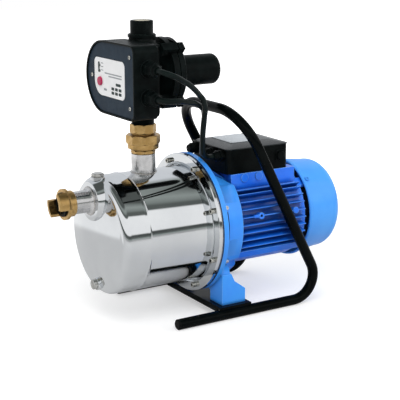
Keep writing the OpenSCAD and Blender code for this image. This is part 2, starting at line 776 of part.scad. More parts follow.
// Section of the motor housing: ring, side fins, terminal pad and lower rails
module housing_section() {
    difference() {
        union() {
            circle(r = housing_r, $fn = 96);
            for (s = [0, 1]) mirror([0, s, 0]) {
                for (a = fin_angles()) rotate([0, 0, a + 90])
                    polygon([[housing_r - 3, -fin_t * 0.75], [fin_r - 0.6, -fin_t * 0.4],
                        [fin_r, 0], [fin_r - 0.6, fin_t * 0.4], [housing_r - 3, fin_t * 0.75]]);
                rotate([0, 0, 300.5]) translate([housing_r - 4, -6.5])
                    square([fin_r - housing_r + 3.4, 13]);
            }
            translate([-pad_top, -pad_half_w]) square([pad_top - 40, 2 * pad_half_w]);
        }
        circle(r = stator_r, $fn = 96);
        for (i = [0:3]) rotate([0, 0, 45 + i * 90]) translate([rod_circle_r, 0])
            circle(r = rod_r + 0.3, $fn = 24);
    }
}

module motor_housing() {
    boss_x = [34, 98];
    pad_boss_x = [24, 50];
    pad_boss_r = 6.5;
    pad_hole_x = box_x + box_len / 2;
    color(blue) difference() {
        union() {
            on_axis(bracket_len) linear_extrude(housing_end - bracket_len) housing_section();
            for (x = boss_x) for (s = [11, 169]) on_axis(bracket_len + x) at_angle(s, 0)
                rotate([0, 90, 0]) translate([0, 0, housing_r - 3])
                    cylinder(h = fin_r - housing_r + 3.5, r = 5, $fn = 32);
            for (s = [11, 169]) on_axis(bracket_len + boss_x[0]) at_angle(s, 0)
                translate([housing_r - 3, -2.5, -13])
                    cube([fin_r - housing_r + 3, 5, 13]);
            for (x = pad_boss_x) for (s = [-1, 1])
                translate([flange_x + bracket_len + x, s * (pad_half_w - 0.5),
                    box_z - pad_boss_r - 0.5])
                    rotate([s > 0 ? -90 : 90, 0, 0]) cylinder(h = 2, r = pad_boss_r, $fn = 40);
        }
        for (s = [11, 169]) on_axis(bracket_len + boss_x[0]) at_angle(s, 0)
            rotate([0, 90, 0]) translate([0, 0, fin_r - 5])
                cylinder(h = 10, r = 2.1, $fn = 24);
        translate([flange_x + pad_hole_x, 0, axis_h + stator_r - 10])
            cylinder(h = 40, r = 15, $fn = 48);
    }
}

module stator_core() {
    color("#8d9296") on_axis(core_x) difference() {
        cylinder(h = core_len, r = stator_r - fit, $fn = 96);
        translate([0, 0, -1]) cylinder(h = core_len + 2, r = rotor_r + air_gap, $fn = 96);
        for (i = [0:23]) rotate([0, 0, i * 15]) translate([rotor_r + 8, 0, -1])
            cylinder(h = core_len + 2, r = 3.2, $fn = 16);
    }
}

module stator_windings() {
    color("#b5642c") for (x = [core_x - 14, core_x + core_len]) on_axis(x)
        rotate_extrude($fn = 72) polygon([[rotor_r + 3, 1.5], [rotor_r + 4.5, 0],
            [stator_r - 5, 0], [stator_r - 3, 2], [stator_r - 3, 12], [stator_r - 5, 14],
            [rotor_r + 4.5, 14], [rotor_r + 3, 12.5]]);
}

module rotor_core() {
    color("#9aa0a5") on_axis(core_x - 3) difference() {
        union() {
            translate([0, 0, 3]) cylinder(h = core_len, r = rotor_r, $fn = 96);
            ring(rotor_r - 3, 22, core_len + 6);
        }
        translate([0, 0, -1]) cylinder(h = core_len + 20, r = shaft_r + 1.5, $fn = 48);
    }
}

module shaft() {
    step_x = front_bearing_x - 3;
    tail_x = rear_bearing_x + bearing_w + 1;
    front_x = nut_x - 3;
    color("#c4c8cb") union() {
        on_axis(front_x) cylinder(h = impeller_x - front_x + fit, r = shaft_end_r - 1.05, $fn = 48);
        on_axis(impeller_x - 0.15)
            cylinder(h = step_x - impeller_x + 1, r = shaft_end_r - fit, $fn = 48);
        on_axis(step_x) cylinder(h = tail_x - step_x, r = shaft_r, $fn = 48);
        on_axis(core_x - 3) cylinder(h = core_len + 6, r = shaft_r + 1.45, $fn = 48);
        on_axis(tail_x - 1) cylinder(h = fan_x + 24 - tail_x, r = shaft_end_r, $fn = 48);
    }
}

// Ball bearing drawn as its two rings, its balls and its shields
module bearing() {
    color("#b9bec2") difference() {
        cylinder(h = bearing_w, r = bearing_r, $fn = 64);
        translate([0, 0, -1]) cylinder(h = bearing_w + 2, r = shaft_r + fit, $fn = 64);
        for (z = [-1, bearing_w - 0.8]) translate([0, 0, z])
            ring(bearing_r - 3, shaft_r + 3, 1.8);
    }
}

module front_bearing() {
    on_axis(front_bearing_x) bearing();
}

module rear_bearing() {
    on_axis(rear_bearing_x) bearing();
}

module end_shield() {
    hub_r = bearing_r + 6;
    hub_x = rear_bearing_x - 2;
    color(blue) difference() {
        union() {
            on_axis(housing_end) cylinder(h = shield_t, r = housing_r + 2, $fn = 96);
            on_axis(housing_end - 5) ring(stator_r - fit, stator_r - 5, 6);
            on_axis(hub_x) cylinder(h = housing_end + shield_t + 1 - hub_x, r = hub_r, $fn = 64);
            on_axis(housing_end) for (i = [0:3]) at_angle(45 + i * 90, 0)
                translate([housing_r - 6, -lug_w / 2, 0])
                    cube([cover_r - cover_wall - fit - housing_r + 5.7, lug_w, shield_t + 16]);
        }
        on_axis(rear_bearing_x) translate([0, 0, -20])
            cylinder(h = bearing_w + 20, r = bearing_r + fit / 2, $fn = 64);
        on_axis(rear_bearing_x) cylinder(h = 60, r = shaft_r + 2, $fn = 48);
        on_axis(housing_end - 1) for (i = [0:3])
            at_angle(45 + i * 90, rod_circle_r) cylinder(h = 40, r = rod_r + 0.3, $fn = 24);
        on_axis(housing_end + shield_t) for (i = [0:3])
            at_angle(45 + i * 90, rod_circle_r) cylinder(h = 40, r = 5.5, $fn = 32);
        for (i = [0:3]) on_axis(cover_screw_x) at_angle(45 + i * 90, 0)
            rotate([0, 90, 0]) translate([0, 0, housing_r - 8])
                cylinder(h = 30, r = 1.6, $fn = 24);
        on_axis(cover_x) difference() {
            cylinder(h = 40, r = cover_r, $fn = 96);
            translate([0, 0, -1]) cylinder(h = 50, r1 = cover_at(-1) - cover_wall - 2 * fit,
                r2 = cover_at(49) - cover_wall - 2 * fit, $fn = 96);
        }
        on_axis(housing_end - 1) difference() {
            cylinder(h = cover_x - housing_end + 1, r = cover_r + 5, $fn = 96);
            translate([0, 0, -1])
                cylinder(h = 50, r = cover_r - cover_wall - 2 * fit, $fn = 96);
        }
    }
}

module tie_rods() {
    rod_len = housing_end + shield_t - bracket_len + 7;
    color("silver") on_axis(housing_end + shield_t) for (i = [0:3])
        at_angle(45 + i * 90, rod_circle_r) cap_screw(rod_r, 4.4, 4, rod_len);
}

module cooling_fan() {
    color("#23272b") on_axis(fan_x) difference() {
        union() {
            cylinder(h = 20, r = shaft_end_r + 5, $fn = 48);
            translate([0, 0, 2]) cylinder(h = 2.2, r = fan_r - 8, $fn = 72);
            for (i = [0:7]) rotate([0, 0, i * 45]) translate([10, -1.1, 2])
                cube([fan_r - 10, 2.2, 16]);
        }
        translate([0, 0, -1]) cylinder(h = 40, r = shaft_end_r, $fn = 48);
        translate([0, 0, -1]) ring(fan_r + 20, fan_r, 40);
    }
}

// Outer radius of the fan cover at distance z from its open rim
function cover_at(z) = cover_r - cover_taper * z / (cover_len - cover_round);

// Profile of the fan cover from its open rim to the middle of its rear face, shrunk by t
function cover_outline(t) = concat([[cover_r - t, 0]],
    arc(cover_r - cover_taper - cover_round, cover_len - cover_round, cover_round - t, 0, 90, 10));

module fan_cover() {
    slot_r0 = 14;
    slot_r1 = cover_r - cover_taper - cover_round - 4;
    bead = 1.2;
    color(light_blue) difference() {
        on_axis(cover_x) difference() {
            rotate_extrude($fn = 120) union() {
                polygon(concat([[0, 0]], cover_outline(0), [[0, cover_len]]));
                polygon([[cover_r - 1, 0], [cover_r + bead, 0.6], [cover_r + bead, 4.4],
                    [cover_r - 1, 5.6]]);
            }
            translate([0, 0, -0.01]) rotate_extrude($fn = 120)
                polygon(concat([[0, -1], [cover_r - cover_wall, -1]], cover_outline(cover_wall),
                    [[0, cover_len - cover_wall]]));
            for (i = [0:23]) rotate([0, 0, i * 15]) translate([slot_r0 + (i % 2) * 12, -1.6, 0])
                cube([slot_r1 - slot_r0 - (i % 2) * 12, 3.2, cover_len + 5]);
        }
        for (i = [0:3]) on_axis(cover_screw_x) at_angle(45 + i * 90, 0)
            rotate([0, 90, 0]) translate([0, 0, cover_r - 12])
                cylinder(h = 20, r = 2.1, $fn = 24);
    }
}

module fan_cover_screws() {
    color(steel) for (i = [0:3]) on_axis(cover_screw_x) at_angle(45 + i * 90, 0)
        rotate([0, 90, 0]) translate([0, 0, cover_at(cover_screw_x - cover_x - 3.6)])
            pan_screw(1.5, 3.6, 2.4, 8);
}

// Rounded block with vertical corners of radius r
module rounded_block(w, d, h, r) {
    translate([r, r, 0]) linear_extrude(h) offset(r = r, $fn = 32) square([w - 2 * r, d - 2 * r]);
}

module terminal_box() {
    w = 2 * box_half_w;
    color(black) difference() {
        union() {
            translate([flange_x + box_x, -box_half_w, box_z])
                rounded_block(box_len, w, box_h, 7);
            translate([flange_x + box_plug_x, -box_half_w + 1, box_z + box_plug_rise])
                rotate([90, 0, 0]) linear_extrude(1 + plug_boss_t)
                    offset(r = 3, $fn = 32) square([12, 11], center = true);
        }
        translate([flange_x + box_x + box_wall, -box_half_w + box_wall, box_z + box_wall])
            rounded_block(box_len - 2 * box_wall, w - 2 * box_wall, box_h, 4.5);
        translate([flange_x + box_x + box_len / 2, 0, box_z - 1])
            cylinder(h = 10, r = 14, $fn = 48);
        for (y = gland_y) translate([flange_x + box_x - 1, y, gland_z])
            rotate([0, 90, 0]) cylinder(h = 10, r = 6 + fit, $fn = 40);
        translate([flange_x + box_plug_x, -box_half_w - plug_boss_t - 1, box_z + box_plug_rise])
            rotate([-90, 0, 0]) cylinder(h = 10, r = 5 + fit, $fn = 40);
    }
}

module terminal_lid() {
    w = 2 * box_half_w;
    inner = box_wall + 0.3;
    color("#6f7a7c") translate([flange_x + box_x, -box_half_w, box_z + box_h]) difference() {
        union() {
            hull() {
                translate([-1, -1, 0]) rounded_block(box_len + 2, w + 2, 1.5, 8);
                translate([lid_slope, lid_slope, 0]) rounded_block(box_len - 2 * lid_slope,
                    w - 2 * lid_slope, lid_t, 3);
            }
            translate([inner, inner, -lid_lip])
                rounded_block(box_len - 2 * inner, w - 2 * inner, lid_lip + 1, 4.3);
        }
        translate([inner + 2, inner + 2, -lid_lip - 1])
            rounded_block(box_len - 2 * inner - 4, w - 2 * inner - 4, lid_lip + 1.4, 3);
    }
}

// Terminal strip with its screws, and the run capacitor beside it
module terminal_block() {
    x0 = flange_x + box_x + 34;
    z0 = box_z + box_wall;
    color("#e6e2d2") union() {
        translate([x0, -26, z0]) cube([12, 52, 12]);
        for (i = [0:4]) translate([x0 + 2, -22 + i * 11, z0 + 11]) {
            cube([8, 1.5, 5]);
            translate([4, 5, 0]) cylinder(h = 2.5, r = 2.6, $fn = 24);
        }
    }
    color("#3b3e42") translate([flange_x + box_x + box_len - 22, -34, z0 + 13])
        rotate([-90, 0, 0]) cylinder(h = 68, r = 13, $fn = 48);
}

// Cable gland with its thread along +z, its hexagon outside and its clamping dome
module cable_gland(hex_r, length, inner_r, wall_t) {
    difference() {
        union() {
            translate([0, 0, -wall_t - 2]) cylinder(h = wall_t + 2, r = 6, $fn = 40);
            translate([0, 0, -wall_t - 4]) nut_body(6, 7, 4);
            nut_body(6, hex_r, 7);
            translate([0, 0, 6]) cylinder(h = 4, r = hex_r - 1.5, $fn = 48);
            translate([0, 0, 8]) nut_body(6, hex_r - 0.3, length - 12);
            translate([0, 0, length - 4.5])
                cylinder(h = 4.5, r1 = hex_r - 0.8, r2 = inner_r + 1.8, $fn = 48);
        }
        translate([0, 0, -wall_t - 5]) cylinder(h = length + 20, r = inner_r + fit, $fn = 40);
    }
}

module terminal_glands() {
    color(black) for (y = gland_y) translate([flange_x + box_x, y, gland_z])
        rotate([0, -90, 0]) cable_gland(gland_r, gland_len, lead_r, box_wall);
}

module blank_plug() {
    wall_t = box_wall + plug_boss_t;
    color(black) translate([flange_x + box_plug_x, -box_half_w - plug_boss_t,
        box_z + box_plug_rise]) rotate([90, 0, 0]) union() {
            translate([0, 0, -wall_t - 1]) cylinder(h = wall_t + 1.5, r = 5, $fn = 40);
            cylinder(h = 2, r = 7, $fn = 48);
            translate([0, 0, 2]) cylinder(h = 1, r1 = 7, r2 = 6, $fn = 48);
            translate([0, 0, -wall_t - 2]) cylinder(h = 2, r = 6, $fn = 40);
        }
}

// Front outline of the controller: square end at -Y, round end at +Y, grown by t
module ctrl_outline(t) {
    offset(r = t, $fn = 64) union() {
        translate([round_y, 0]) circle(r = ctrl_round_r, $fn = 96);
        translate([-ctrl_half_w + 12, -ctrl_round_r])
            square([ctrl_half_w - 12 + round_y, 2 * ctrl_round_r]);
        translate([-ctrl_half_w, -ctrl_round_r + 12]) square([24, 2 * ctrl_round_r - 24]);
        for (s = [-1, 1]) translate([-ctrl_half_w + 12, s * (ctrl_round_r - 12)])
            circle(r = 12, $fn = 48);
    }
}

// Children are drawn on the controller front with x along +Y and y up, z towards the pipe
module on_ctrl_front(depth = 0) {
    translate([ctrl_x - ctrl_front + depth, 0, ctrl_z]) rotate([90, 0, 90]) children();
}

// Places of the three cover screws on the controller front
function ctrl_screw_places() = [[-ctrl_half_w + 14, ctrl_screw_z],
    [-ctrl_half_w + 14, -ctrl_screw_z],
    [round_y + ctrl_round_r - 18, 0]];

module controller_body() {
    color(black) difference() {
        union() {
            on_ctrl_front() linear_extrude(ctrl_depth - 4) ctrl_outline(0);
            on_ctrl_front(ctrl_depth - 4) linear_extrude(4) ctrl_outline(-3);
            translate([ctrl_x, 0, ctrl_z - column_top + 2])
                cylinder(h = 2 * column_top - 2, r = column_r, $fn = 72);
            translate([ctrl_x - 10, 0, chamber_z]) rotate([0, 90, 0])
                cylinder(h = 12 + chamber_x0, r = chamber_r - 7, $fn = 96);
            translate([ctrl_x + chamber_x0, 0, chamber_z]) rotate([0, 90, 0])
                cylinder(h = chamber_x1 - chamber_x0, r = chamber_r, $fn = 96);
            for (i = [0:3]) translate([ctrl_x + ctrl_back - 2, 0, chamber_z])
                rotate([45 + i * 90, 0, 0]) translate([0, -6, chamber_r - 14])
                    cube([chamber_x1 - ctrl_back + 2, 12, chamber_lug_r - chamber_r + 14]);
            translate([ctrl_x, 0, ctrl_z + column_top])
                cylinder(h = neck_top - column_top - 9, r1 = 24, r2 = neck_r, $fn = 64);
            translate([ctrl_x, 0, ctrl_z + neck_top - 9]) cylinder(h = 9, r = neck_r, $fn = 64);
            translate([ctrl_x, 0, ctrl_z + neck_top - 4.5])
                cylinder(h = 3.5, r = neck_r + 1.4, $fn = 64);
            translate([ctrl_x, 0, ctrl_z + neck_top])
                cylinder(h = thread_h - 1, r = thread_r, $fn = 64);
            translate([ctrl_x, 0, ctrl_z + neck_top + thread_h - 1])
                cylinder(h = 1, r1 = thread_r, r2 = thread_r - 1, $fn = 64);
            translate([ctrl_x, 0, ctrl_z - inlet_drop + 8])
                cylinder(h = 30, r = thread_r + 1.6, $fn = 64);
            translate([ctrl_x, 0, ctrl_z - inlet_drop - tail_h + 3])
                cylinder(h = inlet_drop + tail_h - 40, r = thread_r, $fn = 64);
            for (s = [-1, 1]) translate([ctrl_gland_x, -ctrl_half_w + 8,
                ctrl_z + s * ctrl_gland_dz])
                rotate([90, 0, 0]) cylinder(h = 9.5, r = 12.5, $fn = 48);
        }
        on_ctrl_front(-1) linear_extrude(cover_inset + cover_t + 1) ctrl_outline(-2.4);
        on_ctrl_front(4) linear_extrude(ctrl_cavity - 4) difference() {
            ctrl_outline(-4.5);
            for (p = ctrl_screw_places()) translate(p) circle(r = 4.5, $fn = 32);
        }
        for (p = ctrl_screw_places()) on_ctrl_front() translate([p[0], p[1], 4])
            cylinder(h = 14, r = 1.5 + fit, $fn = 24);
        translate([ctrl_x, 0, ctrl_z - 90]) cylinder(h = 70, r = flow_bore_r, $fn = 64);
        translate([ctrl_x, 0, ctrl_z - seat_drop]) cylinder(h = seat_drop + 21, r = 17, $fn = 64);
        translate([ctrl_x, 0, ctrl_z + 20]) cylinder(h = 80, r = flow_bore_r, $fn = 64);
        translate([ctrl_x + 12, 0, ctrl_z]) rotate([0, 90, 0])
            cylinder(h = 20, r = 8, $fn = 48);
        translate([ctrl_x + chamber_bore_x, 0, chamber_z]) rotate([0, 90, 0])
            cylinder(h = 60, r = chamber_bore_r, $fn = 96);
        for (i = [0:3]) translate([ctrl_x + chamber_x1 - 10, 0, chamber_z])
            rotate([45 + i * 90, 0, 0]) translate([0, 0, chamber_lug_r - 6]) rotate([0, 90, 0])
                cylinder(h = 20, r = 1.5 + fit, $fn = 24);
        for (s = [-1, 1]) translate([ctrl_gland_x, -ctrl_half_w - 5,
            ctrl_z + s * ctrl_gland_dz]) rotate([-90, 0, 0])
            cylinder(h = 20, r = 6 + fit, $fn = 40);
    }
}

module controller_cover() {
    color(slate) difference() {
        on_ctrl_front(cover_inset) linear_extrude(cover_t) ctrl_outline(-2.7);
        on_ctrl_front(cover_inset - 1) linear_extrude(1.8) label_outline(1.4);
        for (p = ctrl_screw_places()) on_ctrl_front(cover_inset - 1)
            translate([p[0], p[1], 0]) cylinder(h = 10, r = 1.5 + fit, $fn = 24);
        on_ctrl_front(-5) translate([button_y, button_dz, 0])
            cylinder(h = 20, r = button_r + 0.2, $fn = 48);
        for (z = lens_dz) on_ctrl_front(-5) translate([button_y + 1, z, 0])
            cylinder(h = 20, r = 2 + fit, $fn = 24);
    }
}

// Outline of the label field, grown by t
module label_outline(t) {
    offset(r = t, $fn = 48) union() {
        translate([-36, -19]) square([76, 39]);
        translate([-44, -19]) square([84, 38]);
        translate([-36, -27]) square([62, 54]);
        square([40, 27]);
        for (s = [-1, 1]) translate([-36, s * 19]) circle(r = 8, $fn = 48);
        translate([40, 19]) circle(r = 8, $fn = 48);
        translate([26, -5]) circle(r = 22, $fn = 64);
        translate([26, -5]) square([22, 24]);
    }
}

module controller_label() {
    color("white") difference() {
        on_ctrl_front(cover_inset) linear_extrude(0.8) label_outline(0);
        on_ctrl_front(-5) translate([button_y, button_dz, 0])
            cylinder(h = 20, r = button_r + 0.2, $fn = 48);
        for (z = lens_dz) on_ctrl_front(-5) translate([button_y + 1, z, 0])
            cylinder(h = 20, r = 2 + fit, $fn = 24);
    }
}

module reset_button() {
    rise = button_travel + 0.6;
    collar = rise + cover_t + fit;
    color("#c4205a") on_ctrl_front(cover_inset - rise)
        translate([button_y, button_dz, 0]) union() {
            cylinder(h = 0.8, r1 = button_r - 0.8, r2 = button_r, $fn = 48);
            translate([0, 0, 0.8]) cylinder(h = collar, r = button_r, $fn = 48);
            translate([0, 0, collar]) cylinder(h = 1.5, r = button_r + 1.2, $fn = 48);
            cylinder(h = switch_depth + rise - button_travel - 0.1, r = 2.5, $fn = 32);
        }
}

module status_lenses() {
    color("#5fae6a") for (z = lens_dz) on_ctrl_front(cover_inset - 0.2)
        translate([button_y + 1, z, 0]) cylinder(h = board_depth, r = 2, $fn = 24);
}

module cover_screws() {
    color(steel) for (p = ctrl_screw_places()) on_ctrl_front(cover_inset)
        translate([p[0], p[1], 0]) rotate([180, 0, 0]) pan_screw(1.5, 3, 1.8, 12);
}

module control_board() {
    color("#2f6b3c") union() {
        on_ctrl_front(cover_inset + board_depth) linear_extrude(1.6) difference() {
            ctrl_outline(-5);
            for (p = ctrl_screw_places()) translate(p) circle(r = 4.8, $fn = 32);
            translate([-ctrl_half_w, -ctrl_round_r]) square([11, 2 * ctrl_round_r]);
        }
        on_ctrl_front(cover_inset + switch_depth) translate([button_y - 4, button_dz - 4, 0])
            cube([8, 8, board_depth - switch_depth + 0.5]);
        on_ctrl_front(cover_inset + 7) translate([-50, -12, 0]) cube([22, 24, 8]);
        on_ctrl_front(cover_inset + 9) translate([-12, 14, 0]) cube([24, 18, 6]);
    }
}

// Float of the flow valve: a plug that lifts off its seat when water flows
module flow_valve() {
    color("#d8d4c4") translate([ctrl_x, 0, ctrl_z - seat_drop + fit]) union() {
        translate([0, 0, -7]) cylinder(h = 7, r1 = 9, r2 = 11, $fn = 48);
        cylinder(h = 4, r = 15.5, $fn = 64);
        translate([0, 0, 4]) cylinder(h = 14, r = 6, $fn = 48);
    }
}

module membrane() {
    color("#2a2a2a") translate([ctrl_x + chamber_x1, 0, chamber_z]) rotate([0, 90, 0]) union() {
        translate([0, 0, 0.05]) ring(chamber_r - 6, chamber_bore_r - 6, 2.1);
        translate([0, 0, -4]) cylinder(h = 4, r = 21, $fn = 64);
        translate([0, 0, -2.4]) rotate_extrude($fn = 72)
            polygon([[20, 0], [chamber_bore_r - 7, 2.5], [chamber_bore_r - 5, 2.5],
                [chamber_bore_r - 5, 4.5], [chamber_bore_r - 7.5, 4.5], [20, 2]]);
    }
}

// Pressure spring drawn as a stack of rings joined by two bars, with its seat plate
module pressure_spring() {
    turns = 12;
    length = spring_tube_len + housing_flange_t - 5;
    wire = 1.6;
    color("#a9aeb3") translate([ctrl_x + chamber_x1 + 0.3, 0, chamber_z]) rotate([0, 90, 0])
        union() {
            cylinder(h = 2, r = 15, $fn = 48);
            for (i = [0:turns]) translate([0, 0, 2 + wire / 2 + i * (length - wire) / turns])
                rotate_extrude($fn = 48) translate([12, 0]) circle(r = wire, $fn = 16);
            for (a = [0, 180]) rotate([0, 0, a]) translate([12, 0, 1])
                cylinder(h = length + 1, r = wire * 0.7, $fn = 16);
        }
}

module spring_housing() {
    tube_len = spring_tube_len;
    end_round = 7;
    x0 = ctrl_x + chamber_x1 + chamber_gap;
    color(black) difference() {
        union() {
            translate([x0, 0, chamber_z]) rotate([0, 90, 0])
                cylinder(h = housing_flange_t - 2, r = chamber_r - 1, $fn = 96);
            translate([x0 + housing_flange_t - 2, 0, chamber_z]) rotate([0, 90, 0])
                cylinder(h = 2, r1 = chamber_r - 1, r2 = chamber_r - 3, $fn = 96);
            for (i = [0:3]) translate([x0, 0, chamber_z])
                rotate([45 + i * 90, 0, 0]) translate([0, -6, chamber_r - 8])
                    cube([housing_flange_t - 1, 12, chamber_lug_r - chamber_r + 8]);
            translate([x0, 0, chamber_z]) rotate([0, 90, 0]) rotate_extrude($fn = 96)
                polygon(concat([[0, 0], [spring_housing_r, 0]],
                    arc(spring_housing_r - end_round, tube_len + housing_flange_t - end_round,
                        end_round, 0, 90, 6), [[0, tube_len + housing_flange_t]]));
        }
        translate([x0 - 1, 0, chamber_z]) rotate([0, 90, 0])
            cylinder(h = tube_len + housing_flange_t - 2, r = spring_housing_r - 3, $fn = 72);
        translate([x0 - 1, 0, chamber_z]) rotate([0, 90, 0]) cylinder(h = 6, r = 27, $fn = 72);
        for (i = [0:3]) translate([x0 - 5, 0, chamber_z]) rotate([45 + i * 90, 0, 0])
            translate([0, 0, chamber_lug_r - 6]) rotate([0, 90, 0])
                cylinder(h = 30, r = 1.5 + fit, $fn = 24);
    }
}

module spring_housing_screws() {
    x1 = ctrl_x + chamber_x1 + chamber_gap + housing_flange_t - 1;
    color(steel) for (i = [0:3]) translate([x1, 0, chamber_z]) rotate([45 + i * 90, 0, 0])
        translate([0, 0, chamber_lug_r - 6]) rotate([0, 90, 0]) pan_screw(1.5, 3.4, 2.2, 18);
}

module controller_glands() {
    color(black) for (s = [-1, 1])
        translate([ctrl_gland_x, -ctrl_half_w - 1.5, ctrl_z + s * ctrl_gland_dz])
            rotate([90, 0, 0]) cable_gland(9.5, ctrl_gland_len, lead_r, 6);
}

// Direction of a route at point i
function heading(p, i) =
    let (a = p[max(i - 1, 0)], b = p[min(i + 1, len(p) - 1)]) (b - a) / norm(b - a);

// Ring of n points about route point i, in the plane across the route
function route_ring(p, i, r, n) =
    let (d = heading(p, i), u0 = cross(d, [0, 0.35, 1]), u = u0 / norm(u0), v = cross(d, u))
    [for (k = [0:n - 1]) p[i] + r * (cos(360 * k / n) * u + sin(360 * k / n) * v)];

// Tube swept along a route with a ring at each point
module swept_lead(p, r, n) {
    m = len(p);
    points = [for (i = [0:m - 1]) each route_ring(p, i, r, n)];
    sides = [for (i = [0:m - 2]) for (k = [0:n - 1])
        [i * n + k, (i + 1) * n + k, (i + 1) * n + (k + 1) % n, i * n + (k + 1) % n]];
    caps = [[for (k = [0:n - 1]) k], [for (k = [0:n - 1]) m * n - 1 - k]];
    polyhedron(points = points, faces = concat(sides, caps), convexity = 6);
}

module upper_lead() {
    color(black) swept_lead(upper_route, lead_r, 10);
}

module lower_lead() {
    color(black) swept_lead(lower_route, lead_r, 10);
}

// Frame tube at radius r, with radius r_bend in the bends and its skid ends longer by reach
module frame_tube(r, r_bend, reach = 0) {
    seat = 0.5;
    bend_angle = 90 + leg_lean + 2 * seat;
    for (s = [0, 1]) mirror([0, s, 0]) {
        translate([flange_x + skid_front - reach, -side_y, tube_r]) rotate([0, 90, 0])
            cylinder(h = bend_x - skid_front + reach, r = r, $fn = 48);
        translate([flange_x + bend_x, -side_y, tube_r + rear_bend_r]) rotate([90, 0, 0])
            rotate([0, 0, -90 - seat]) rotate_extrude(angle = bend_angle, $fn = 96)
                translate([rear_bend_r, 0]) circle(r = r_bend, $fn = 48);
        on_leg() translate([0, -side_y, 0]) {
            cylinder(h = leg_len, r = r, $fn = 48);
            translate([0, top_bend_r, leg_len]) rotate([0, -90, 0])
                rotate([0, 0, 270 - seat]) rotate_extrude(angle = 90 + 2 * seat, $fn = 96)
                    translate([top_bend_r, 0]) circle(r = r_bend, $fn = 48);
        }
    }
    on_leg() translate([0, top_bend_r - side_y, leg_len + top_bend_r]) rotate([-90, 0, 0])
        cylinder(h = 2 * (side_y - top_bend_r), r = r, $fn = 48);
}

// Children are drawn with z along the legs, from the upper end of the rear bends
module on_leg() {
    translate([flange_x + bend_end_x, 0, bend_end_z]) rotate([0, -leg_lean, 0]) children();
}

module carry_frame() {
    color(black) difference() {
        frame_tube(tube_r, tube_r - 0.03);
        frame_tube(tube_bore_r, tube_bore_r - 0.03, 1);
    }
}

// Cross bar that carries the bracket feet: a plate on the skids with turned down lips
module frame_bar() {
    lip_y = side_y - sqrt(pow(tube_r, 2) - pow(bar_top - bar_t - bar_lip - tube_r, 2)) - 0.2;
    color(black) difference() {
        union() {
            translate([flange_x + bar_x, -side_y - 2, bar_top - bar_t])
                cube([bar_w, 2 * side_y + 4, bar_t]);
            for (x = [bar_x, bar_x + bar_w - 3])
                translate([flange_x + x, -lip_y, bar_top - bar_t - bar_lip])
                    cube([3, 2 * lip_y, bar_lip + 1]);
        }
        for (s = [-1, 1]) translate([flange_x + foot_screw_x, s * foot_screw_y, 0])
            cylinder(h = 40, r = 4 + fit, $fn = 32);
    }
}

// Bolts through the bracket feet and the cross bar, with their nuts below
module foot_screws() {
    seat_z = foot_z + foot_h - 8;
    color(steel) for (s = [-1, 1])
        translate([flange_x + foot_screw_x, s * foot_screw_y, 0]) union() {
            translate([0, 0, seat_z]) cylinder(h = 1.6, r = 8.5, $fn = 40);
            translate([0, 0, seat_z + 1.6]) nut_body(6, 6.5, 5.3);
            translate([0, 0, bar_top - bar_t - 8]) cylinder(h = seat_z - bar_top + bar_t + 10,
                r = 4, $fn = 32);
            translate([0, 0, bar_top - bar_t - 6.5]) nut_body(6, 6.5, 6.5);
        }
}

module tube_caps() {
    color("#101214") for (s = [-1, 1]) translate([flange_x + skid_front, s * side_y, tube_r])
        rotate([0, -90, 0]) union() {
            cylinder(h = 2, r = tube_r, $fn = 48);
            translate([0, 0, 2]) cylinder(h = 1.5, r1 = tube_r, r2 = tube_r - 1.5, $fn = 48);
            translate([0, 0, -12]) cylinder(h = 12, r = tube_bore_r - fit, $fn = 48);
        }
}

pump_casing();
suction_stub();
discharge_stub();
filler_plug();
drain_plug();
suction_coupling();
coupling_seal();
union_nipple();
union_nut();
union_tail();
clamp_ring();
casing_gasket();
flange_screws();
seal_plate();
ejector();
diffuser();
impeller();
impeller_nut();
shaft_seal_seat();
shaft_seal_ring();
bracket();
bracket_screws();
motor_housing();
stator_core();
stator_windings();
rotor_core();
shaft();
front_bearing();
rear_bearing();
end_shield();
tie_rods();
cooling_fan();
fan_cover();
fan_cover_screws();
terminal_box();
terminal_lid();
terminal_block();
terminal_glands();
blank_plug();
controller_body();
controller_cover();
controller_label();
reset_button();
status_lenses();
cover_screws();
control_board();
flow_valve();
membrane();
pressure_spring();
spring_housing();
spring_housing_screws();
controller_glands();
upper_lead();
lower_lead();
carry_frame();
frame_bar();
foot_screws();
tube_caps();
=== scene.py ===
"""Looks of a booster pump: jet pump, finned motor, pressure controller and tube frame.

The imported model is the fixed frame, in metres: +X runs from the suction port to the fan, +Z is up
and the floor is z = 0. Each class below is one sub-assembly. Its sizes are dataclass fields, in
millimetres unless they say otherwise, and its methods build its meshes and dress them in the
finishes of the Palette. Stations run along the pump axis from the clamping face of the casing
flange, and a rise is a height above that axis.
"""

import json
import logging
import math
from dataclasses import dataclass, field
from enum import Enum
from typing import Callable, Sequence

import bmesh
import bpy
from mathutils import Matrix, Vector

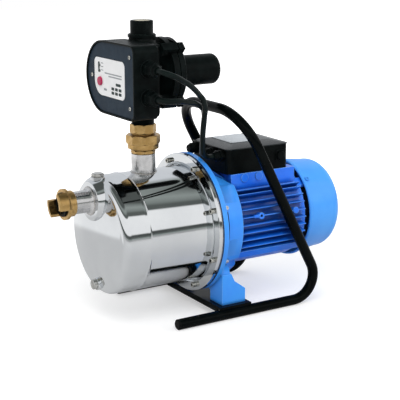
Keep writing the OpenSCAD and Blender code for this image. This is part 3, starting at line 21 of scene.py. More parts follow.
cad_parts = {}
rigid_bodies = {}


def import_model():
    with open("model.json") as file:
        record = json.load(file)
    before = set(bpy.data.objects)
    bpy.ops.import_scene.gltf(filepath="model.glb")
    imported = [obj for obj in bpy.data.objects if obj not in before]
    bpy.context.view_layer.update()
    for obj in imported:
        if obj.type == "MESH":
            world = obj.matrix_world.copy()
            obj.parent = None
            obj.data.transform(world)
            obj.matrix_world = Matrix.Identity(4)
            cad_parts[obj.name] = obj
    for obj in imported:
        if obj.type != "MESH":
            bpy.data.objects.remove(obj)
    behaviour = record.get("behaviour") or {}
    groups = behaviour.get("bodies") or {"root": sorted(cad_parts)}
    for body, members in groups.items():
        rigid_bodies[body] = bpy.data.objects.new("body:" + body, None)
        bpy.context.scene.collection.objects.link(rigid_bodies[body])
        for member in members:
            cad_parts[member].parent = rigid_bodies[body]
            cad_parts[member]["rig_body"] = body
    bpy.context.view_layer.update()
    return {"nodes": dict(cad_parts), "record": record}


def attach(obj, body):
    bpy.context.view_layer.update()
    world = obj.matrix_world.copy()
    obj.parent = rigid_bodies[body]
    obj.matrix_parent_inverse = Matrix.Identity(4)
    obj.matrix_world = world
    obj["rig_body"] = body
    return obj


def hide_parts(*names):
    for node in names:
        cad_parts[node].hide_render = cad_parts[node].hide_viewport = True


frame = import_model()

LOG = logging.getLogger("booster_pump")
MM = 0.001
TURN = 2 * math.pi

FLANGE_X = -15.0 * MM
AXIS_Z = 132.0 * MM
# Turns a shape's own Z axis to the X axis
ALONG_X = Matrix.Rotation(math.radians(90), 4, "Y")

Color = tuple[float, float, float]
Point = tuple[float, float, float]
Span = tuple[float, float]
Profile = Sequence[tuple[float, float]]
Socket = bpy.types.NodeSocket
Value = float | Sequence[float] | Socket

WHITE: Color = (1.0, 1.0, 1.0)

# Noise is given as the detail and the weight of its finer layers
PATCH_NOISE: Span = (4.0, 0.55)
PATCH_BAND: Span = (0.35, 0.72)
WANDER_NOISE: Span = (3.0, 0.6)
WANDERS_PER_PATCH = 2.3
NOISE_RANGE: Span = (0.3, 0.7)
COAT_ROUGHNESS = 0.08
BRUSH_STRETCH = 0.03
NEAR_SAMPLES = 6
# The first number is an open surface and the second a full edge for the painted edge highlight, or
# a deep recess for the painted shade
EDGE_BAND: Span = (0.995, 0.88)
RECESS_SHADE_BAND: Span = (0.85, 0.30)

SAME_POINT = 1e-6
JOIN_WITHIN = 2e-6
FLAT_DEGREES = 0.6


class Relief(Enum):
    """Small relief that a surface carries."""

    POLISHED = "polished"
    BRUSHED = "brushed"
    CAST = "cast"
    MOULDED = "moulded"
    PAINTED = "painted"
    WOUND = "wound"


RELIEF_NOISE: dict[Relief, Span] = {
    Relief.POLISHED: (1.0, 0.4), Relief.BRUSHED: (3.0, 0.7), Relief.CAST: (5.0, 0.62),
    Relief.MOULDED: (5.0, 0.62), Relief.PAINTED: (1.5, 0.45), Relief.WOUND: (0.0, 0.0),
}


class Body(Enum):
    """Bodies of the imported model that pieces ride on."""

    PUMP = "pump"
    ROTOR = "rotor"
    BUTTON = "button"
    VALVE = "valve"


class NodeGraph:
    """Node tree of a material or a world, with short calls that add and join its nodes."""

    def __init__(self, owner: bpy.types.Material | bpy.types.World, place: str) -> None:
        """Empty the owner's tree.

        Args:
            owner: Material or world that the tree belongs to.
            place: Name of the coordinates that its nodes read.
        """
        owner.use_nodes = True
        self.tree = owner.node_tree
        self.tree.nodes.clear()
        self.place = self.node("TexCoord").outputs[place]

    def node(self, kind: str, inputs: dict[int | str, Value] | None = None,
             **settings: str | int) -> bpy.types.Node:
        """Add a node.

        Args:
            kind: Its type, without ShaderNode in front.
            inputs: Values or sockets for its inputs.
            settings: Values of its properties.

        Returns:
            The node.
        """
        node = self.tree.nodes.new(f"ShaderNode{kind}")
        for name, value in settings.items():
            setattr(node, name, value)
        for key, value in (inputs or {}).items():
            self.feed(node.inputs[key], value)
        return node

    def feed(self, target: Socket, value: Value) -> None:
        """Give an input a number, a colour, a vector or another node's output.

        Args:
            target: The input.
            value: What it gets.
        """
        if isinstance(value, Socket):
            self.tree.links.new(value, target)
        elif target.type == "RGBA":
            target.default_value = (*value, 1.0)
        else:
            target.default_value = value

    def calc(self, operation: str, *values: Value) -> Socket:
        """Result of a sum with numbers."""
        return self.node("Math", dict(enumerate(values)), operation=operation).outputs[0]

    def vectors(self, operation: str, *values: Value) -> Socket:
        """Number that comes of a sum with vectors."""
        node = self.node("VectorMath", dict(enumerate(values)), operation=operation)
        return node.outputs["Value"]

    def band(self, value: Socket, source: Span, target: Span = (0.0, 1.0),
             form: str = "SMOOTHSTEP") -> Socket:
        """Value mapped from one range to another.

        Args:
            value: The value.
            source: The range that it comes from.
            target: The range that it goes to.
            form: How the value runs between the ends.

        Returns:
            The socket of the mapped value.
        """
        names = ("Value", "From Min", "From Max", "To Min", "To Max")
        node = self.node("MapRange", dict(zip(names, (value, *source, *target))),
                         interpolation_type=form)
        return node.outputs["Result"]

    def mix(self, factor: Socket, first: Color | Socket, second: Color | Socket) -> Socket:
        """Mix of two colours: the first at factor 0 and the second at factor 1."""
        return self.node("Mix", {0: factor, 6: first, 7: second}, data_type="RGBA").outputs[2]


class MaterialGraph(NodeGraph):
    """Node tree of one material round a Principled shader."""

    def __init__(self, name: str, values: dict[str, float]) -> None:
        """Make the shader.

        Args:
            name: Name of the material.
            values: Values that are the same all over the surface.
        """
        self.material = bpy.data.materials.new(name)
        super().__init__(self.material, "Object")
        self.shader = self.node("BsdfPrincipled", values)
        self.node("OutputMaterial", {"Surface": self.shader.outputs["BSDF"]})

    def noise(self, size: float, layers: Span, stretch: Sequence[float] | None = None) -> Socket:
        """Noise over the surface.

        Args:
            size: Size of its patches in millimetres.
            layers: Detail and weight of the finer layers.
            stretch: Factor of each axis, or None where all are 1.

        Returns:
            The socket of the noise value.
        """
        place = self.place
        if stretch is not None:
            place = self.node("Mapping", {"Vector": place, "Scale": stretch}).outputs["Vector"]
        inputs = {"Vector": place, "Scale": 1 / (size * MM), "Detail": layers[0],
                  "Roughness": layers[1]}
        return self.node("TexNoise", inputs).outputs["Fac"]

    def edges(self, rounded: Socket) -> Socket:
        """Share of the painted edge highlight, from a normal that runs softly round the edges."""
        plain = self.node("NewGeometry").outputs["Normal"]
        return self.band(self.vectors("DOT_PRODUCT", rounded, plain), EDGE_BAND)

    def recess_shade(self, color: Socket, finish: "Finish") -> Socket:
        """Colour with painted shade: darkened by ambient occlusion where the surface sits in a
        recess.

        Args:
            color: Colour of the open surface.
            finish: The finish with the colour of its painted shade and the reach of its recesses.

        Returns:
            The socket of the colour.
        """
        near = self.node("AmbientOcclusion", {"Distance": finish.reach * MM},
                         samples=NEAR_SAMPLES)
        depth = self.band(near.outputs["AO"], RECESS_SHADE_BAND)
        return self.mix(self.calc("MULTIPLY", depth, finish.recess_shade), color, finish.recess_shade_color)

    def relief(self, finish: "Finish", rounded: Socket) -> Socket:
        """Normal of the surface with the finish's small relief.

        Args:
            finish: The finish.
            rounded: Normal that the relief stands on.

        Returns:
            The socket of the normal.
        """
        stretch = None
        if finish.relief is Relief.BRUSHED:
            stretch = [1.0, 1.0, 1.0]
            stretch[finish.grain_axis] = BRUSH_STRETCH
        height = self.noise(finish.grain, RELIEF_NOISE[finish.relief], stretch)
        bump = self.node("Bump", {"Strength": 1.0, "Distance": finish.depth * MM,
                                  "Height": height, "Normal": rounded})
        return bump.outputs["Normal"]


@dataclass(frozen=True)
class Finish:
    """One finish: colour, gloss and small relief of a surface, with any painted highlight on its
    edges and painted shade in its recesses.

    Attributes:
        name: A material slot of the record, or a name of its own for a piece of this script.
        color: Main colour, linear.
        shade: Colour of the darker patches.
        relief: Kind of small relief.
        metallic: Metalness of the surface.
        roughness: Middle of its roughness.
        spread: How far the roughness wanders to each side.
        depth: Height of the relief.
        grain: Size of the relief's pattern.
        patch: Size of the colour patches.
        recess_shade: Share of the painted shade colour in a deep recess.
        coat: Weight of the clear coat.
        grain_axis: Axis that a brushed grain runs along: 0, 1 or 2.
        reach: How near a wall must stand for the painted shade to darken a recess.
        recess_shade_color: Colour of the painted shade in the depth of a recess.
        edge: Radius of the soft edges.
        edge_highlight: Colour of the painted highlight on the edges, or None where they look like
            the faces.
        specular: Strength of the shine of a surface that is no metal.
    """

    name: str
    color: Color
    shade: Color
    relief: Relief
    metallic: float = 0.0
    roughness: float = 0.4
    spread: float = 0.06
    depth: float = 0.02
    grain: float = 1.0
    patch: float = 18.0
    recess_shade: float = 0.35
    coat: float = 0.0
    grain_axis: int = 0
    reach: float = 4.0
    recess_shade_color: Color = (0.0, 0.0, 0.0)
    edge: float = 0.35
    edge_highlight: Color | None = None
    specular: float = 0.5

    def material(self) -> bpy.types.Material:
        """Build the finish's material.

        Returns:
            The node material.
        """
        graph = MaterialGraph(self.name, {
            "Metallic": self.metallic, "Coat Weight": self.coat,
            "Coat Roughness": COAT_ROUGHNESS, "Specular IOR Level": self.specular})
        patches = graph.noise(self.patch, PATCH_NOISE)
        color = graph.mix(graph.band(patches, PATCH_BAND), self.shade, self.color)
        bevel = graph.node("Bevel", {"Radius": self.edge * MM}, samples=NEAR_SAMPLES)
        rounded = bevel.outputs["Normal"]
        # Painted highlight: the edges are lightened towards the edge highlight colour
        if self.edge_highlight is not None:
            color = graph.mix(graph.edges(rounded), color, self.edge_highlight)
        # Painted shade: ambient occlusion darkens the recesses towards the shade colour
        if self.recess_shade > 0:
            color = graph.recess_shade(color, self)
        wander = graph.noise(self.patch / WANDERS_PER_PATCH, WANDER_NOISE)
        ends = (self.roughness - self.spread, self.roughness + self.spread)
        rough = graph.band(wander, NOISE_RANGE, ends, "LINEAR")
        for name, socket in (("Base Color", color), ("Roughness", rough),
                             ("Normal", graph.relief(self, rounded))):
            graph.feed(graph.shader.inputs[name], socket)
        return graph.material


class Palette:
    """Finishes of the pump, each built once."""

    # Edge colours here are painted highlights along the edges, and recess colours with their shares
    # are painted shade in the recesses
    FINISHES: tuple[Finish, ...] = (
        Finish("polished_steel", (0.755, 0.775, 0.79), (0.69, 0.71, 0.73), Relief.POLISHED,
               metallic=1.0, roughness=0.06, spread=0.025, depth=0.010, grain=24.0, patch=70.0,
               recess_shade=0.0, edge=0.25),
        Finish("steel_pipe", (0.74, 0.735, 0.74), (0.56, 0.56, 0.56), Relief.BRUSHED, metallic=1.0,
               roughness=0.20, spread=0.07, depth=0.004, grain=0.7, patch=12.0, recess_shade=0.3),
        Finish("weld_steel", (0.72, 0.71, 0.69), (0.50, 0.48, 0.46), Relief.CAST, metallic=1.0,
               roughness=0.28, spread=0.10, depth=0.08, grain=1.6, patch=7.0, recess_shade=0.5),
        Finish("plug_steel", (0.66, 0.66, 0.64), (0.42, 0.42, 0.40), Relief.CAST, metallic=1.0,
               roughness=0.24, spread=0.08, depth=0.01, grain=0.9, patch=8.0),
        Finish("brass_fitting", (0.66, 0.44, 0.18), (0.50, 0.31, 0.11), Relief.CAST, metallic=1.0,
               roughness=0.34, spread=0.09, depth=0.05, grain=1.6, patch=11.0, recess_shade=0.75,
               recess_shade_color=(0.06, 0.025, 0.006), reach=5.0, edge=0.5, edge_highlight=(0.88, 0.66, 0.34)),
        Finish("black_rubber", (0.006, 0.0075, 0.008), (0.003, 0.004, 0.004), Relief.MOULDED,
               roughness=0.42, grain=0.8, specular=0.1),
        Finish("bright_zinc", (0.93, 0.92, 0.88), (0.80, 0.79, 0.74), Relief.CAST, metallic=0.55,
               roughness=0.32, depth=0.006, grain=0.5, patch=4.0, recess_shade=0.5, reach=1.5, edge=0.2),
        Finish("zinc_screws", (0.74, 0.74, 0.70), (0.48, 0.47, 0.42), Relief.CAST, metallic=1.0,
               roughness=0.20, spread=0.08, depth=0.006, grain=0.5, patch=4.0, recess_shade=0.9,
               reach=2.5, edge=0.2),
        Finish("plain_steel", (0.62, 0.63, 0.64), (0.45, 0.45, 0.46), Relief.BRUSHED, metallic=1.0,
               roughness=0.28, depth=0.004, grain=0.6, grain_axis=1),
        Finish("moulded_hydraulics", (0.045, 0.045, 0.05), (0.02, 0.02, 0.022), Relief.MOULDED,
               roughness=0.45),
        Finish("impeller_brass", (0.70, 0.48, 0.20), (0.50, 0.32, 0.12), Relief.CAST, metallic=1.0,
               roughness=0.32, depth=0.03),
        Finish("seal_ceramic", (0.82, 0.79, 0.72), (0.66, 0.63, 0.57), Relief.POLISHED,
               roughness=0.16),
        Finish("blue_enamel", (0.042, 0.350, 1.0), (0.030, 0.290, 0.96), Relief.PAINTED,
               roughness=0.36, spread=0.05, depth=0.035, grain=2.6, patch=46.0, recess_shade=0.93,
               reach=9.0, recess_shade_color=(0.0, 0.008, 0.07), edge=1.0, edge_highlight=(0.20, 0.52, 1.0), coat=0.2),
        Finish("housing_enamel", (0.012, 0.225, 1.0), (0.008, 0.170, 0.90), Relief.PAINTED,
               roughness=0.36, spread=0.05, depth=0.035, grain=2.6, patch=46.0, recess_shade=0.96,
               reach=14.0, recess_shade_color=(0.0, 0.028, 0.20), edge=1.3, edge_highlight=(0.20, 0.50, 1.0), coat=0.2),
        Finish("laminations", (0.38, 0.39, 0.40), (0.20, 0.20, 0.21), Relief.BRUSHED, metallic=1.0,
               depth=0.03, grain=0.5, grain_axis=1),
        Finish("copper_winding", (0.50, 0.17, 0.06), (0.22, 0.06, 0.02), Relief.WOUND,
               metallic=0.6, roughness=0.34, depth=0.25, grain=1.2),
        Finish("fan_plastic", (0.015, 0.016, 0.018), (0.008, 0.008, 0.009), Relief.MOULDED,
               roughness=0.5),
        Finish("cover_blue", (0.066, 0.385, 1.0), (0.050, 0.330, 0.96), Relief.PAINTED,
               roughness=0.38, spread=0.04, grain=3.2, patch=60.0, recess_shade=0.5,
               recess_shade_color=(0.0, 0.03, 0.2), edge=0.5, edge_highlight=(0.22, 0.58, 1.0), coat=0.12),
        Finish("cover_paint", (0.064, 0.370, 0.98), (0.050, 0.325, 0.94), Relief.PAINTED,
               roughness=0.38, grain=3.2, recess_shade=0.3, recess_shade_color=(0.0, 0.03, 0.2)),
        Finish("box_black", (0.0035, 0.0052, 0.0050), (0.0015, 0.0022, 0.0022), Relief.MOULDED,
               roughness=0.34, depth=0.03, grain=0.9, edge=0.5, edge_highlight=(0.012, 0.018, 0.018),
               specular=0.05),
        Finish("lid_grey", (0.006, 0.009, 0.0095), (0.004, 0.006, 0.0065), Relief.MOULDED,
               roughness=0.22, depth=0.004, grain=0.9, edge=0.6, edge_highlight=(0.03, 0.04, 0.042),
               specular=0.3),
        Finish("lid_plate", (0.52, 0.56, 0.60), (0.47, 0.51, 0.55), Relief.MOULDED, roughness=0.22,
               depth=0.002, edge=0.2, recess_shade=0.0),
        Finish("strip_cream", (0.72, 0.69, 0.58), (0.55, 0.52, 0.42), Relief.MOULDED,
               roughness=0.45),
        Finish("controller_black", (0.0040, 0.0068, 0.0066), (0.0018, 0.0030, 0.0030),
               Relief.MOULDED, roughness=0.38, depth=0.04, grain=0.8, recess_shade=0.6, edge=0.7,
               edge_highlight=(0.012, 0.020, 0.019), specular=0.07),
        Finish("slate_cover", (0.022, 0.038, 0.058), (0.018, 0.031, 0.048), Relief.MOULDED,
               roughness=0.42, grain=0.7, edge=0.6, edge_highlight=(0.05, 0.08, 0.11), specular=0.08),
        Finish("label_white", (0.96, 0.965, 0.97), (0.92, 0.925, 0.93), Relief.MOULDED,
               depth=0.004, grain=1.2, recess_shade=0.0),
        Finish("print_slate", (0.020, 0.042, 0.040), (0.014, 0.030, 0.028), Relief.MOULDED,
               depth=0.002, recess_shade=0.0, specular=0.2),
        Finish("print_grey", (0.36, 0.38, 0.40), (0.30, 0.32, 0.34), Relief.MOULDED, depth=0.002,
               recess_shade=0.0, specular=0.2),
        Finish("button_magenta", (0.58, 0.010, 0.10), (0.42, 0.006, 0.07), Relief.MOULDED,
               roughness=0.3, depth=0.01, edge=0.5, edge_highlight=(0.72, 0.10, 0.24)),
        Finish("lens_green", (0.020, 0.050, 0.036), (0.010, 0.026, 0.02), Relief.POLISHED,
               roughness=0.12),
        Finish("board_green", (0.03, 0.16, 0.05), (0.02, 0.1, 0.03), Relief.MOULDED,
               roughness=0.35),
        Finish("valve_plastic", (0.70, 0.66, 0.55), (0.55, 0.52, 0.42), Relief.MOULDED),
        Finish("spring_steel", (0.45, 0.46, 0.47), (0.25, 0.25, 0.26), Relief.BRUSHED,
               metallic=1.0, roughness=0.3, grain=0.4, grain_axis=1),
        Finish("lead_sheath", (0.0060, 0.0115, 0.0105), (0.004, 0.0075, 0.007), Relief.MOULDED,
               roughness=0.34, grain=1.1, recess_shade=0.2, specular=0.1),
        Finish("frame_black", (0.0022, 0.0035, 0.0034), (0.0012, 0.002, 0.002), Relief.PAINTED,
               roughness=0.16, spread=0.05, grain=1.8, specular=0.06),
        Finish("cap_black", (0.004, 0.005, 0.005), (0.002, 0.0025, 0.0025), Relief.MOULDED,
               roughness=0.42, specular=0.07),
    )

    def __init__(self) -> None:
        """Index the finishes by name."""
        self._finishes = {finish.name: finish for finish in self.FINISHES}
        self._made: dict[str, bpy.types.Material] = {}

    def material(self, name: str) -> bpy.types.Material:
        """Material of a finish, built on first use.

        Args:
            name: Name of the finish.

        Returns:
            The material.
        """
        if name not in self._made:
            self._made[name] = self._finishes[name].material()
        return self._made[name]


PALETTE = Palette()
# Record material slot of each CAD node
SLOT_OF_NODE = {row["node"]: row["material_slot"] for row in frame["record"]["subparts"]}


def station(x: float, y: float = 0.0, z: float = 0.0) -> Vector:
    """Point from a station, across and above the floor, all in millimetres."""
    return Vector((FLANGE_X + x * MM, y * MM, z * MM))


def at(x: float, y: float = 0.0, z: float = 0.0) -> Matrix:
    """Place of an upright shape whose origin goes to a station."""
    return Matrix.Translation(station(x, y, z))


def along_axis(rise: float = 0.0) -> Matrix:
    """Place of a turned shape whose heights are stations along a line above the pump axis."""
    return Matrix.Translation((FLANGE_X, 0.0, AXIS_Z + rise * MM)) @ ALONG_X


def shade_by_angle(mesh: bpy.types.Mesh, degrees: float) -> None:
    """Smooth a mesh and keep the edges that turn more than an angle sharp."""
    mesh.shade_smooth()
    mesh.set_sharp_from_angle(angle=math.radians(degrees))


def lathe(bm: bmesh.types.BMesh, profile: Profile, steps: int) -> None:
    """Turn a closed outline about the Z axis.

    Args:
        bm: Mesh that the turned shape goes into.
        profile: Corners as (radius, height) in millimetres, from pole to pole or round a ring.
        steps: Number of steps of the turn.
    """
    before = set(bm.verts)
    verts = [bm.verts.new((radius * MM, 0.0, height * MM)) for radius, height in profile]
    ends = list(zip(verts, verts[1:]))
    if profile[0][0] > 0 or profile[-1][0] > 0:
        ends.append((verts[-1], verts[0]))
    edges = [bm.edges.new(pair) for pair in ends]
    bmesh.ops.spin(bm, geom=verts + edges, cent=(0, 0, 0), axis=(0, 0, 1), angle=TURN,
                   steps=steps, use_merge=True)
    fresh = [v for v in bm.verts if v not in before]
    bmesh.ops.remove_doubles(bm, verts=fresh, dist=SAME_POINT)


def arc(center: tuple[float, float], radius: float, start: float, end: float, count: int
        ) -> list[tuple[float, float]]:
    """Points of an arc in a profile.

    Args:
        center: Middle of the arc.
        radius: Radius of the arc.
        start: Angle of its first point in degrees.
        end: Angle of its last point in degrees.
        count: Number of steps.

    Returns:
        The points, both ends included.
    """
    points = []
    for i in range(count + 1):
        angle = math.radians(start + (end - start) * i / count)
        points.append((center[0] + radius * math.cos(angle), center[1] + radius * math.sin(angle)))
    return points


def add_object(name: str, data: bpy.types.ID) -> bpy.types.Object:
    """Put a new object into the scene.

    Args:
        name: Name of the object.
        data: Mesh, curve, camera or lamp that it holds.

    Returns:
        The object.
    """
    thing = bpy.data.objects.new(name, data)
    bpy.context.scene.collection.objects.link(thing)
    return thing


def mesh_of(bm: bmesh.types.BMesh, name: str) -> bpy.types.Mesh:
    """Turn a bmesh into a mesh.

    Args:
        bm: The bmesh; it is freed.
        name: Name of the mesh.

    Returns:
        The mesh.
    """
    mesh = bpy.data.meshes.new(name)
    bm.to_mesh(mesh)
    bm.free()
    return mesh


def finish_piece(bm: bmesh.types.BMesh, name: str, slot: str, body: Body = Body.PUMP,
                 replaces: Sequence[str] = (), place: Matrix | None = None,
                 sharp: float = 35.0, outward: bool = True) -> bpy.types.Object:
    """Turn a mesh into a piece that rides on a body and wears a finish.

    Args:
        bm: Mesh of the piece; it is freed.
        name: Name of the piece.
        slot: Name of its finish.
        body: Body that it rides on.
        replaces: CAD nodes that it stands for.
        place: Where the mesh goes in the frame, or None if it is there already.
        sharp: Smallest turn in degrees of an edge that stays sharp.
        outward: Whether the faces are turned to point outwards.

    Returns:
        The piece's object.
    """
    if place is not None:
        bmesh.ops.transform(bm, matrix=place, verts=bm.verts)
    if outward:
        bmesh.ops.recalc_face_normals(bm, faces=bm.faces)
    mesh = mesh_of(bm, name)
    shade_by_angle(mesh, sharp)
    mesh.materials.append(PALETTE.material(slot))
    piece = add_object(name, mesh)
    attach(piece, body.value)
    if replaces:
        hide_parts(*replaces)
    LOG.info("piece %s: %d faces", name, len(mesh.polygons))
    return piece


def turned(name: str, slot: str, profile: Profile, steps: int, place: Matrix,
           replaces: Sequence[str] = (), sharp: float = 35.0) -> bpy.types.Object:
    """Turn a closed outline into a piece.

    Args:
        name: Name of the piece.
        slot: Name of its finish.
        profile: Corners of the outline, as lathe takes them.
        steps: Number of steps of the turn.
        place: Where the shape goes in the frame.
        replaces: CAD nodes that it stands for.
        sharp: Smallest turn in degrees of an edge that stays sharp.

    Returns:
        The piece's object.
    """
    bm = bmesh.new()
    lathe(bm, profile, steps)
    return finish_piece(bm, name, slot, replaces=replaces, place=place, sharp=sharp)


def merged_copy(node: str) -> bmesh.types.BMesh:
    """Copy of a CAD node's mesh with its loose triangles joined.

    Args:
        node: Name of the CAD node.

    Returns:
        A new mesh whose flat faces are whole.
    """
    bm = bmesh.new()
    bm.from_mesh(frame["nodes"][node].data)
    bmesh.ops.remove_doubles(bm, verts=bm.verts, dist=JOIN_WITHIN)
    bmesh.ops.dissolve_limit(bm, angle_limit=math.radians(FLAT_DEGREES), verts=bm.verts,
                             edges=bm.edges, delimit={"NORMAL"})
    return bm


def refined(node: str, sharp: float = 32.0, slot: str | None = None) -> bpy.types.Object:
    """Stand in for a CAD node with the same shape, whole flat faces and smooth round ones.

    Args:
        node: Name of the CAD node.
        sharp: Smallest turn in degrees of an edge that stays sharp.
        slot: Name of its finish, or None for the finish of the node's slot.

    Returns:
        The piece's object.
    """
    body = Body(frame["nodes"][node]["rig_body"])
    piece = finish_piece(merged_copy(node), f"{node}_fine", slot or SLOT_OF_NODE[node], body,
                         replaces=[node], sharp=sharp, outward=False)
    flat = piece.modifiers.new("flat_faces", "WEIGHTED_NORMAL")
    flat.keep_sharp = True
    return piece


def reshape(piece: bpy.types.Object, rule: Callable[[float, float], float]) -> None:
    """Move a piece's points in or out about the pump axis.

    Args:
        piece: The piece.
        rule: New radius from a point's station and radius, all in millimetres.
    """
    for vert in piece.data.vertices:
        across = vert.co.y
        up = vert.co.z - AXIS_Z
        reach = math.hypot(across, up)
        if reach > SAME_POINT:
            change = rule((vert.co.x - FLANGE_X) / MM, reach / MM) * MM / reach
            vert.co.y = across * change
            vert.co.z = AXIS_Z + up * change


def weld_bead(bm: bmesh.types.BMesh, radius: float, height: float, size: float, seed: int) -> None:
    """Lay a weld bead round the Z axis, with the ripples of the torch.

    Args:
        bm: Empty mesh that the bead goes into.
        radius: Radius of the bead's middle in millimetres.
        height: Height of its middle in millimetres.
        size: Half width of the bead in millimetres.
        seed: Seed of its unevenness.
    """
    # Share of the width, waves in a turn and turn by the seed of each ripple
    ripples = ((0.09, 46, 1.0), (0.10, 7, 2.1))
    lathe(bm, arc((radius, height), size, 0, 330, 11), steps=144)
    for vert in bm.verts:
        angle = math.atan2(vert.co.y, vert.co.x)
        swell = sum(share * math.sin(waves * angle + turn * seed) for share, waves, turn in ripples)
        middle = Vector((math.cos(angle) * radius, math.sin(angle) * radius, height)) * MM
        vert.co = middle + (vert.co - middle) * (1.0 + swell)


def helix_ridge(bm: bmesh.types.BMesh, radius: float, base: float, pitch: float, turns: float,
                depth: float) -> None:
    """Wind a thread ridge round the Z axis.

    Args:
        bm: Mesh that the ridge goes into.
        radius: Outer radius of the thread in millimetres.
        base: Height where the thread starts in millimetres.
        pitch: Rise of one turn in millimetres.
        turns: Number of turns.
        depth: Depth of the thread in millimetres.
    """
    core = radius - depth
    root = core - 0.4
    corners = [(root, -0.10), (core, 0.0), (radius, 0.42), (radius, 0.58), (core, 1.0),
               (root, 1.10)]
    steps_per_turn = 48
    verts = [bm.verts.new((r * MM, 0.0, (base + rise * pitch) * MM)) for r, rise in corners]
    edges = [bm.edges.new(pair) for pair in zip(verts, verts[1:] + verts[:1])]
    bmesh.ops.contextual_create(bm, geom=edges)
    face = verts[0].link_faces[0]
    bmesh.ops.spin(bm, geom=[face, *face.verts, *face.edges], cent=(0, 0, 0), axis=(0, 0, 1),
                   dvec=(0, 0, pitch * MM / steps_per_turn), angle=TURN * turns,
                   steps=int(steps_per_turn * turns), use_merge=False)


def cut(piece: bpy.types.Object, tool: bmesh.types.BMesh) -> None:
    """Cut a closed shape out of a piece.

    Args:
        piece: Object that is cut.
        tool: Mesh of the shape that is taken away; it is freed.
    """
    bmesh.ops.recalc_face_normals(tool, faces=tool.faces)
    mesh = mesh_of(tool, "tool")
    cutter = add_object("tool", mesh)
    change = piece.modifiers.new("cut", "BOOLEAN")
    change.operation = "DIFFERENCE"
    change.solver = "EXACT"
    change.object = cutter
    bpy.context.view_layer.update()
    whole = piece.evaluated_get(bpy.context.evaluated_depsgraph_get())
    fresh = bpy.data.meshes.new_from_object(whole)
    piece.modifiers.remove(change)
    old = piece.data
    piece.data = fresh
    fresh.name = piece.name
    bpy.data.meshes.remove(old)
    bpy.data.objects.remove(cutter)
    bpy.data.meshes.remove(mesh)


